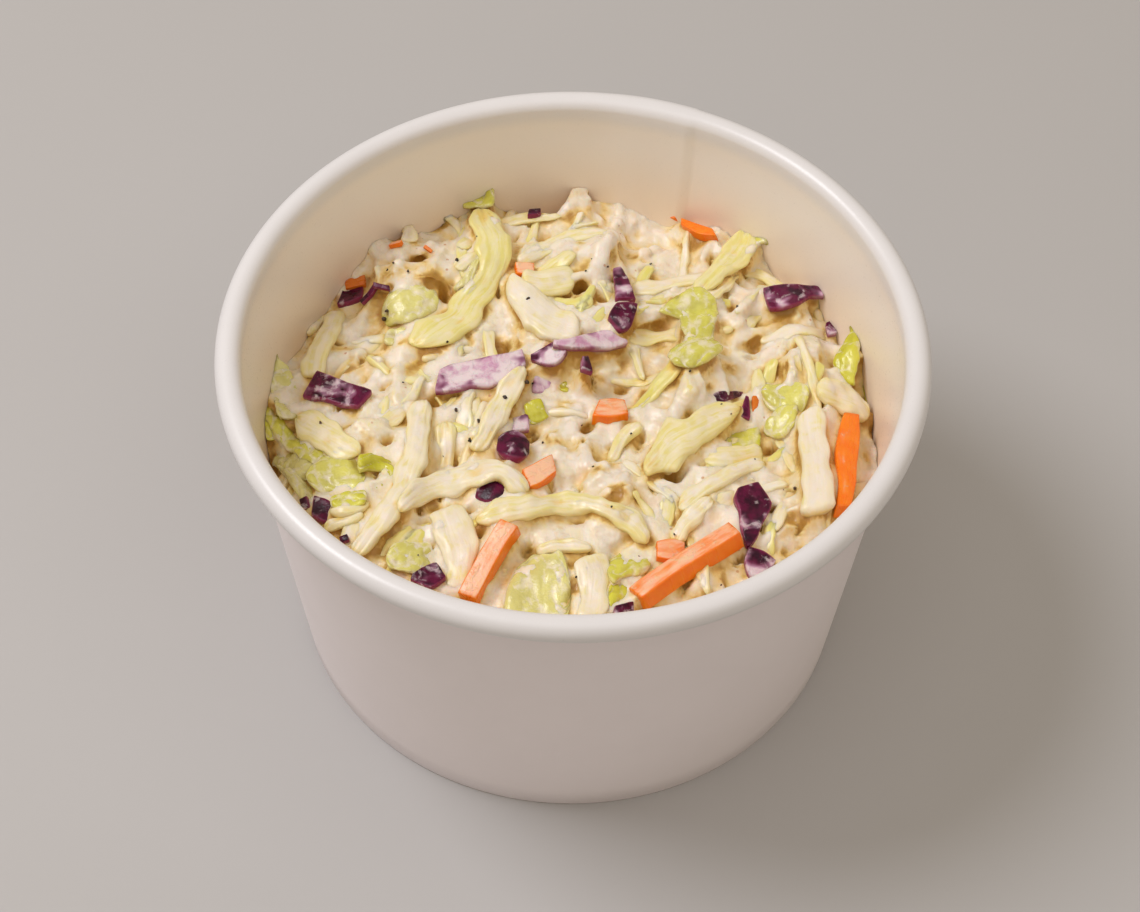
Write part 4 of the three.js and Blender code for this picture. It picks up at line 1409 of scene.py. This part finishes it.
def wall_outline():
    """The wall's section as [radius, height] points, once round the sheet."""
    inside = [(wall_inner(z), z) for z in np.linspace(WALL_TOP, BOARD + 0.1, 16)]
    outside = [(wall_outer(z), z) for z in np.linspace(FOOT_ROUND, WALL_TOP - 0.5, 14)]
    hem = [(hem_inner(BOARD) + BOARD, BOARD), (hem_inner(HEM_HEIGHT) + BOARD, HEM_HEIGHT - 0.1),
           (hem_inner(HEM_HEIGHT) + BOARD / 2, HEM_HEIGHT), (hem_inner(HEM_HEIGHT), HEM_HEIGHT - 0.1),
           (hem_inner(0.3), 0.3), (hem_inner(0) + FOOT_ROUND, 0)]
    return [(wall_outer(0) - FOOT_ROUND, 0), *outside, *curl_arc(CURL_RADIUS - BOARD, 180, CURL_END_DEG),
            *curl_arc(CURL_RADIUS, CURL_END_DEG, 180)[:-1], *inside, *hem]


def curl_arc(radius, start, end, step=12):
    """Points on a circle round the curl's centre, from one angle to another."""
    count = round(abs(end - start) / step)
    turns = [math.radians(start + (end - start) * k / count) for k in range(count + 1)]
    return [(CURL_CENTRE[0] + radius * math.cos(t), CURL_CENTRE[1] + radius * math.sin(t)) for t in turns]


def is_coated(place):
    """Whether a place of the wall is on the glossy coated side: the inside and the rolled rim."""
    out = math.hypot(place.x, place.y)
    if place.z > WALL_TOP:
        return math.hypot(out - CURL_CENTRE[0], place.z - CURL_CENTRE[1]) > CURL_RADIUS - BOARD / 2
    return out < wall_outer(place.z) - BOARD / 2


def lapped(place, s):
    """Moves a point of the wall where its two ends overlap at the side seam."""
    out = math.hypot(place.x, place.y)
    turn = math.atan2(place.y, place.x)
    coated = is_coated(place)
    step = s.lap_step / MM * lap_rise((turn - s.lap_angle) * out, s.lap / MM, coated)
    if step <= 0:
        return place
    if place.z > WALL_TOP:
        from_curl = Vector((out - CURL_CENTRE[0], place.z - CURL_CENTRE[1]))
        out += from_curl.normalized().x * step * 0.55
    else:
        out += step * (-1 if coated else 0.6)
    return Vector((out * math.cos(turn), out * math.sin(turn), place.z))


def lap_rise(past, lap, coated):
    """How far up the seam's step a point is, from 0 to 1: sudden at the board's end, slow after it."""
    sudden = 0.3
    if coated:
        return held((past + sudden / 2) / sudden) if past < lap / 2 else 1 - smoothstep(past / lap - 1)
    return held((lap - past) / sudden) if past > lap / 2 else smoothstep(past / lap + 1)


def held(t):
    """A number held between 0 and 1."""
    return min(max(t, 0), 1)


def smoothstep(t):
    """A soft rise from 0 to 1."""
    t = held(t)
    return t * t * (3 - 2 * t)


class BuildCupBase(bpy.types.Operator):
    """Turns the disc that closes the cup, with its skirt in the folded hem"""

    bl_idname = "coleslaw.build_cup_base"
    bl_label = "Cup Base"

    def execute(self, context):
        s = context.scene.coleslaw_cup
        under = BASE_TOP - BOARD
        bend = 0.5
        lower = [(0, under), (skirt_inner(under) / 2, under), (skirt_inner(under) - bend, under),
                 (skirt_inner(under) - 0.3 * bend, under - 0.3 * bend),
                 (skirt_inner(under - bend), under - bend), (skirt_inner(SKIRT_BOTTOM), SKIRT_BOTTOM)]
        upper = [(skirt_outer(SKIRT_BOTTOM), SKIRT_BOTTOM), (skirt_outer(BASE_TOP - bend), BASE_TOP - bend),
                 (skirt_outer(BASE_TOP) - 0.3 * bend, BASE_TOP - 0.3 * bend),
                 (skirt_outer(BASE_TOP) - bend, BASE_TOP), (skirt_outer(BASE_TOP) / 2, BASE_TOP),
                 (0, BASE_TOP)]
        mesh = mesh_of(revolved(lower + upper, s.facets // 2), "cup_base_board")
        place_piece(mesh, board_finish("board_base", s.plain, 0.55, 0.05), "cup_board", "cup_base")
        return {"FINISHED"}


class BuildCore(bpy.types.Operator):
    """Turns the plain core of slaw that fills the cup under the loose pieces"""

    bl_idname = "coleslaw.build_core"
    bl_label = "Slaw Core"

    def execute(self, context):
        s = context.scene.coleslaw_slaw
        bottom = BASE_TOP + FIT_GAP
        outline = [(0, bottom), (core_side(bottom) / 2, bottom), (core_side(bottom), bottom)]
        outline += [(core_side(z), z) for z in np.linspace(bottom + 4, BED_FLOOR + 1, 5)]
        outline += [(core_side(BED_FLOOR) * k, BED_FLOOR + 1 + 1.2 * (1 - k)) for k in (0.75, 0.5, 0.25, 0)]
        mesh = mesh_of(revolved(outline, 96), "slaw_core")
        place_piece(mesh, dressed_finish("slaw_core", s, 0.4), "dressed_cabbage", "slaw")
        return {"FINISHED"}


# ---------------------------------------------------------------- dressed mass


HOLLOW_FILL = 2.4  # depth to which the bed fills the hollows of the heap's top, mm
BED_SUNK = 0.72  # how far the bed stays under the pieces, mm
BED_CELLS = 170  # cells across the bed
MELT_CURDS = ((0.32, 4.0, 71, 12), (0.07, 1.5, 72, 12), (0.16, 9.0, 73, 7))  # height, length, seed, count


def bed_block():
    """A solid that fills the heap up to a little under its pieces, so that no gap stays hollow."""
    top, _ = heap()
    closed = sliding(sliding(top.z, 5, np.max), 5, np.min)
    level = sliding(np.minimum(closed, top.z + HOLLOW_FILL), 1, np.mean) - BED_SUNK
    bm = bmesh.new()
    bmesh.ops.create_grid(bm, x_segments=BED_CELLS, y_segments=BED_CELLS, size=1.0)
    places = np.array([v.co for v in bm.verts])
    disc = places[:, :2] * np.sqrt(1 - places[:, 1::-1] ** 2 / 2)
    for vert, (x, y) in zip(bm.verts, disc * (wall_inner(BED_EDGE) - WALL_GAP)):
        vert.co = (x, y, 0)
    made = bmesh.ops.extrude_face_region(bm, geom=bm.faces[:])
    low = {g for g in made["geom"] if isinstance(g, bmesh.types.BMVert)}
    bm.verts.index_update()
    points = np.array([v.co for v in bm.verts])
    is_low = np.array([v in low for v in bm.verts])
    curds = waves(points, 3.2, 61, 12) * 0.3
    points[:, 2] = np.where(is_low, BED_FLOOR - 1.5, level[top.cell(points[:, 0], points[:, 1])] + curds)
    out = np.maximum(np.hypot(points[:, 0], points[:, 1]), 1e-9)
    pushed = (wall_inner(points[:, 2]) + 0.6) / out  # past the wall, where every piece is held inside
    points[:, :2] *= np.where(out > wall_inner(BED_EDGE) - 0.5, pushed, 1)[:, None]
    bmesh.ops.recalc_face_normals(bm, faces=bm.faces)
    faces = [tuple(v.index for v in f.verts) for f in bm.faces]
    bm.free()
    tint = 0.25 + 0.25 * waves(points, 6.0, 62)
    look = np.column_stack((np.clip(tint, 0, 1), np.full((len(points), 3), 0.5)))
    return points, faces, points, look, np.tile((0.5, 1.0, 0.0), (len(points), 1))


# How far the crisp pieces stand out of the dressing that creeps up round them, mm.
BARED = {"leaf": 0.26, "red": 0.5, "carrot": 0.6, "flake": 0.14, "thread": 0.1, "shred": 0.34, "slab": 0.34}


class BuildMass(bpy.types.Operator):
    """Runs the well-dressed shreds together into one creamy mass"""

    bl_idname = "coleslaw.build_mass"
    bl_label = "Dressed Mass"

    def execute(self, context):
        s = context.scene.coleslaw_slaw
        top, laid = heap()
        creep = s.creep / MM
        parts = [bed_block()]
        for piece in laid.values():
            parts.append(sweep(piece, creep - BARED.get(piece.strip.kind, 0), melted=True))
        mesh = melted_down(join_pieces("mass_source", parts), s)
        mesh.name = "dressed_mass"
        trim_under(mesh)
        points = vectors(mesh.vertices, "co").astype(float) / MM
        curd = sum(rise * waves(points, *rest) for rise, *rest in MELT_CURDS) - 0.04
        outward = np.where(points[:, 2] < BED_FLOOR + 0.6, 0, curd - creep)[:, None]
        points = points + vectors(mesh.vertex_normals, "vector") * outward
        carved = top.carved[top.cell(points[:, 0], points[:, 1])]
        points[:, 2] -= np.minimum(carved, np.maximum(points[:, 2] - BED_FLOOR - 1, 0))
        points = hold_inside(points)
        mesh.vertices.foreach_set("co", (points * MM).astype(np.float32).ravel())
        carry_looks(mesh, points, parts)
        place_piece(mesh, dressed_finish("cream_dressing", s, 0.6), "cream_dressing")
        return {"FINISHED"}


def vectors(items, name):
    """One vector of each of a mesh's items, as rows."""
    values = np.empty(len(items) * 3, np.float32)
    items.foreach_get(name, values)
    return values.reshape(-1, 3)


def melted_down(mesh, s):
    """One closed skin round all the pieces of a mesh, with its faces thinned out."""
    source = add_mesh(mesh)
    remesh = source.modifiers.new("melt", "REMESH")
    remesh.mode = "VOXEL"
    remesh.voxel_size = s.voxel
    thin = source.modifiers.new("thin", "DECIMATE")
    thin.ratio = s.kept
    graph = bpy.context.evaluated_depsgraph_get()
    skin = bpy.data.meshes.new_from_object(source.evaluated_get(graph))
    bpy.data.objects.remove(source)
    return skin


LEAST_BIT = 200  # points of the smallest loose bit of the mass that is kept


def drop_loose_bits(bm):
    """Deletes the small loose bits that the melting leaves beside the mass."""
    seen = set()
    small = []
    for seed in bm.verts:
        if seed in seen:
            continue
        seen.add(seed)
        bit = [seed]
        for vert in bit:
            for edge in vert.link_edges:
                other = edge.other_vert(vert)
                if other not in seen:
                    seen.add(other)
                    bit.append(other)
        if len(bit) < LEAST_BIT:
            small += bit
    bmesh.ops.delete(bm, geom=small, context="VERTS")


def trim_under(mesh):
    """Cuts off the mass's flat underside and closes it with one face, then evens out the rest."""
    bm = bmesh.new()
    bm.from_mesh(mesh)
    drop_loose_bits(bm)
    cut = bmesh.ops.bisect_plane(bm, geom=bm.verts[:] + bm.edges[:] + bm.faces[:], dist=1e-7,
                                 plane_co=(0, 0, BED_FLOOR * MM), plane_no=(0, 0, -1), clear_outer=True)
    rim = [g for g in cut["geom_cut"] if isinstance(g, bmesh.types.BMEdge)]
    bmesh.ops.holes_fill(bm, edges=rim, sides=0)
    upper = [v for v in bm.verts if v.co.z > (BED_FLOOR + 0.5) * MM]
    for _ in range(2):
        bmesh.ops.smooth_vert(bm, verts=upper, factor=0.5, use_axis_x=True, use_axis_y=True,
                              use_axis_z=True)
    bmesh.ops.recalc_face_normals(bm, faces=bm.faces)
    bm.to_mesh(mesh)
    bm.free()


def carry_looks(mesh, points, parts):
    """Gives each vertex of the mass the fibre, look and form of the piece nearest to it."""
    places, fibre, look, form = (np.vstack([part[k] for part in parts]) for k in (0, 2, 3, 4))
    tree = KDTree(len(places))
    for k, place in enumerate(places):
        tree.insert(place, k)
    tree.balance()
    nearest = np.array([tree.find(point)[1] for point in points])
    carry_form(mesh, points, fibre[nearest], soften(mesh, look[nearest], 3), form[nearest])


def soften(mesh, values, times):
    """Evens out values over a mesh's neighbouring vertices."""
    ends = np.empty(len(mesh.edges) * 2, np.int32)
    mesh.edges.foreach_get("vertices", ends)
    a, b = ends.reshape(-1, 2).T
    near = np.bincount(np.concatenate((a, b)), minlength=len(values))[:, None] + 1
    for _ in range(times):
        total = values.copy()
        for k in range(values.shape[1]):
            for here, there in ((a, b), (b, a)):
                total[:, k] += np.bincount(here, values[there, k], len(values))
        values = total / near
    return values


# ---------------------------------------------------------------- crisp pieces


def in_sight(top, piece):
    """Whether a fair part of a piece lies at the heap's top."""
    over = top.at(piece.middle[:, 0], piece.middle[:, 1]) - piece.middle[:, 2] - piece.thick / 2
    return (over < 0.3).mean() > 0.25


def build_kind(kinds, name, finish, slot):
    """Makes one piece of all the crisp pieces of some kinds, leaving out those that lie buried."""
    top, laid = heap()
    chosen = [p for p in laid.values() if p.strip.crisp and p.strip.kind in kinds and in_sight(top, p)]
    place_piece(join_pieces(name, [sweep(p) for p in chosen]), finish, slot)


class BuildShreds(bpy.types.Operator):
    """Lays the shreds of white cabbage"""

    bl_idname = "coleslaw.build_shreds"
    bl_label = "Cabbage Shreds"

    def execute(self, context):
        s = context.scene.coleslaw_slaw
        finish = shred_finish("dressed_cabbage", s)
        build_kind(("shred", "slab", "flake"), "cabbage_shreds", finish, "dressed_cabbage")
        build_kind(("thread",), "fine_shreds", finish, "dressed_cabbage")
        return {"FINISHED"}


class BuildLeaves(bpy.types.Operator):
    """Lays the crinkled green leaves"""

    bl_idname = "coleslaw.build_leaves"
    bl_label = "Green Leaves"

    def execute(self, context):
        s = context.scene.coleslaw_slaw
        build_kind(("leaf",), "green_leaves", leaf_finish("green_cabbage", s), "green_cabbage")
        return {"FINISHED"}


class BuildRedCabbage(bpy.types.Operator):
    """Lays the chips of red cabbage"""

    bl_idname = "coleslaw.build_red_cabbage"
    bl_label = "Red Cabbage"

    def execute(self, context):
        s = context.scene.coleslaw_slaw
        build_kind(("red",), "red_cabbage_chips", red_finish("red_cabbage", s), "red_cabbage")
        return {"FINISHED"}


class BuildCarrots(bpy.types.Operator):
    """Lays the sticks of carrot"""

    bl_idname = "coleslaw.build_carrots"
    bl_label = "Carrot Sticks"

    def execute(self, context):
        s = context.scene.coleslaw_slaw
        build_kind(("carrot",), "carrot_sticks", carrot_finish("carrot", s), "carrot")
        return {"FINISHED"}


PEPPER_SEEN = ((514, 552), (479, 421), (456, 410), (387, 311), (384, 319), (408, 271), (457, 260),
               (528, 299), (500, 298), (527, 382), (470, 440), (576, 577), (642, 524), (737, 307),
               (690, 371), (505, 397))
LOOSE_PEPPER = 45
PEPPER_REACH = wall_inner(36) - 4  # how far from the middle loose grains lie, mm
SEEN_GRAIN = (0.26, 0.38)  # smallest and largest radius of a grain that shows, mm
LOOSE_GRAIN = (0.1, 0.22)  # and of a loose one


class BuildPepper(bpy.types.Operator):
    """Scatters grains of ground pepper over the salad"""

    bl_idname = "coleslaw.build_pepper"
    bl_label = "Pepper"

    def execute(self, context):
        s = context.scene.coleslaw_slaw
        top, _ = heap()
        rng = np.random.default_rng(5)
        rays = sight_lines(PEPPER_SEEN)
        seen = EYE + rays * top.meet(rays)[:, None]
        out = PEPPER_REACH * np.sqrt(rng.uniform(0, 1, LOOSE_PEPPER))
        turn = rng.uniform(0, TAU, LOOSE_PEPPER)
        loose = np.column_stack((out * np.cos(turn), out * np.sin(turn), np.zeros(LOOSE_PEPPER)))
        loose[:, 2] = top.at(loose[:, 0], loose[:, 1])
        bm = bmesh.new()
        for k, place in enumerate(np.vstack((seen, loose))):
            size = rng.uniform(*(SEEN_GRAIN if k < len(seen) else LOOSE_GRAIN))
            stretch = Matrix.Diagonal((*rng.uniform(0.5, 1.3, 3), 1))
            turned = Matrix.Rotation(rng.uniform(0, TAU), 4, Vector(rng.normal(size=3)).normalized())
            bmesh.ops.create_icosphere(bm, subdivisions=2, radius=size * MM,
                                       matrix=Matrix.Translation(place * MM) @ turned @ stretch)
        for v in bm.verts:
            v.co += v.normal * 0.06 * MM * rng.uniform(-1, 1)
        place_piece(mesh_of(bm, "pepper_grains"), pepper_finish("pepper", s), "pepper")
        return {"FINISHED"}


# ---------------------------------------------------------------- stage


class BuildStage(bpy.types.Operator):
    """Sets up the floor, the soft light and the camera"""

    bl_idname = "coleslaw.build_stage"
    bl_label = "Stage"

    def execute(self, context):
        s = context.scene.coleslaw_stage
        bm = bmesh.new()
        bmesh.ops.create_grid(bm, x_segments=2, y_segments=2, size=3.0)
        f = Finish("floor")
        tone = f.mix(f.ramp(f.noise(60, 2.0), 0.3, 0.7, 0, 0.3), s.floor, [c * 0.96 for c in s.floor])
        floor = add_mesh(mesh_of(bm, "floor"), [f.shade(Base_Color=tone, Roughness=0.6)])
        add_light("key", (-0.44, 0.08, 0.72), 0.36, s.key)
        add_light("top", (0.18, -0.3, 1.0), 1.0, s.key * 0.62)
        world = bpy.data.worlds.new("studio")
        world.use_nodes = True
        ground = world.node_tree.nodes["Background"]
        ground.inputs["Color"].default_value = (1.0, 0.85, 0.64, 1)
        ground.inputs["Strength"].default_value = s.fill
        context.scene.world = world
        context.scene.view_settings.view_transform = "Standard"
        add_camera()
        return {"FINISHED"}


def add_light(name, place, size, power):
    """A soft round light that faces the heap."""
    light = bpy.data.lights.new(name, "AREA")
    light.shape = "DISK"
    light.size = size
    light.energy = power
    light.color = (0.985, 0.985, 1.03)
    obj = add_object(name, light)
    obj.location = place
    obj.rotation_euler = (Vector((0, 0, 0.04)) - Vector(place)).to_track_quat("-Z", "Y").to_euler()


def add_camera():
    """The camera, looking down into the cup from the front."""
    right, up, forward = (Vector(axis) for axis in camera_axes())
    data = bpy.data.cameras.new("camera")
    data.sensor_width = SENSOR_WIDTH
    data.lens = SENSOR_WIDTH * FOCAL_PIXELS / FRAME_WIDTH
    data.clip_start = 0.01
    obj = add_object("camera", data)
    turn = Matrix((right, up, -forward)).transposed().to_4x4()
    obj.matrix_world = Matrix.Translation(Vector(EYE) * MM) @ turn
    bpy.context.scene.camera = obj


STEPS = (BuildStage, BuildCupWall, BuildCupBase, BuildCore, BuildMass, BuildShreds, BuildLeaves,
         BuildRedCabbage, BuildCarrots, BuildPepper)
SETTINGS = {"coleslaw_cup": CupSettings, "coleslaw_slaw": SlawSettings, "coleslaw_stage": StageSettings}


class ColeslawPanel(bpy.types.Panel):
    """Sizes, colours and build steps of the tub of coleslaw"""

    bl_idname = "VIEW3D_PT_coleslaw"
    bl_label = "Coleslaw Tub"
    bl_space_type = "VIEW_3D"
    bl_region_type = "UI"
    bl_category = "Coleslaw"

    def draw(self, context):
        for name, group in SETTINGS.items():
            box = self.layout.box()
            for key in group.__annotations__:
                box.prop(getattr(context.scene, name), key)
        for step in STEPS:
            self.layout.operator(step.bl_idname)


def register():
    for cls in (*SETTINGS.values(), *STEPS, ColeslawPanel):
        bpy.utils.register_class(cls)
    for name, group in SETTINGS.items():
        setattr(bpy.types.Scene, name, PointerProperty(type=group))


def unregister():
    for name in SETTINGS:
        delattr(bpy.types.Scene, name)
    for cls in reversed((*SETTINGS.values(), *STEPS, ColeslawPanel)):
        bpy.utils.unregister_class(cls)


def main():
    """Builds the tub."""
    register()
    for step in STEPS:
        group, action = step.bl_idname.split(".")
        getattr(getattr(bpy.ops, group), action)()


if __name__ == "__main__":
    main()
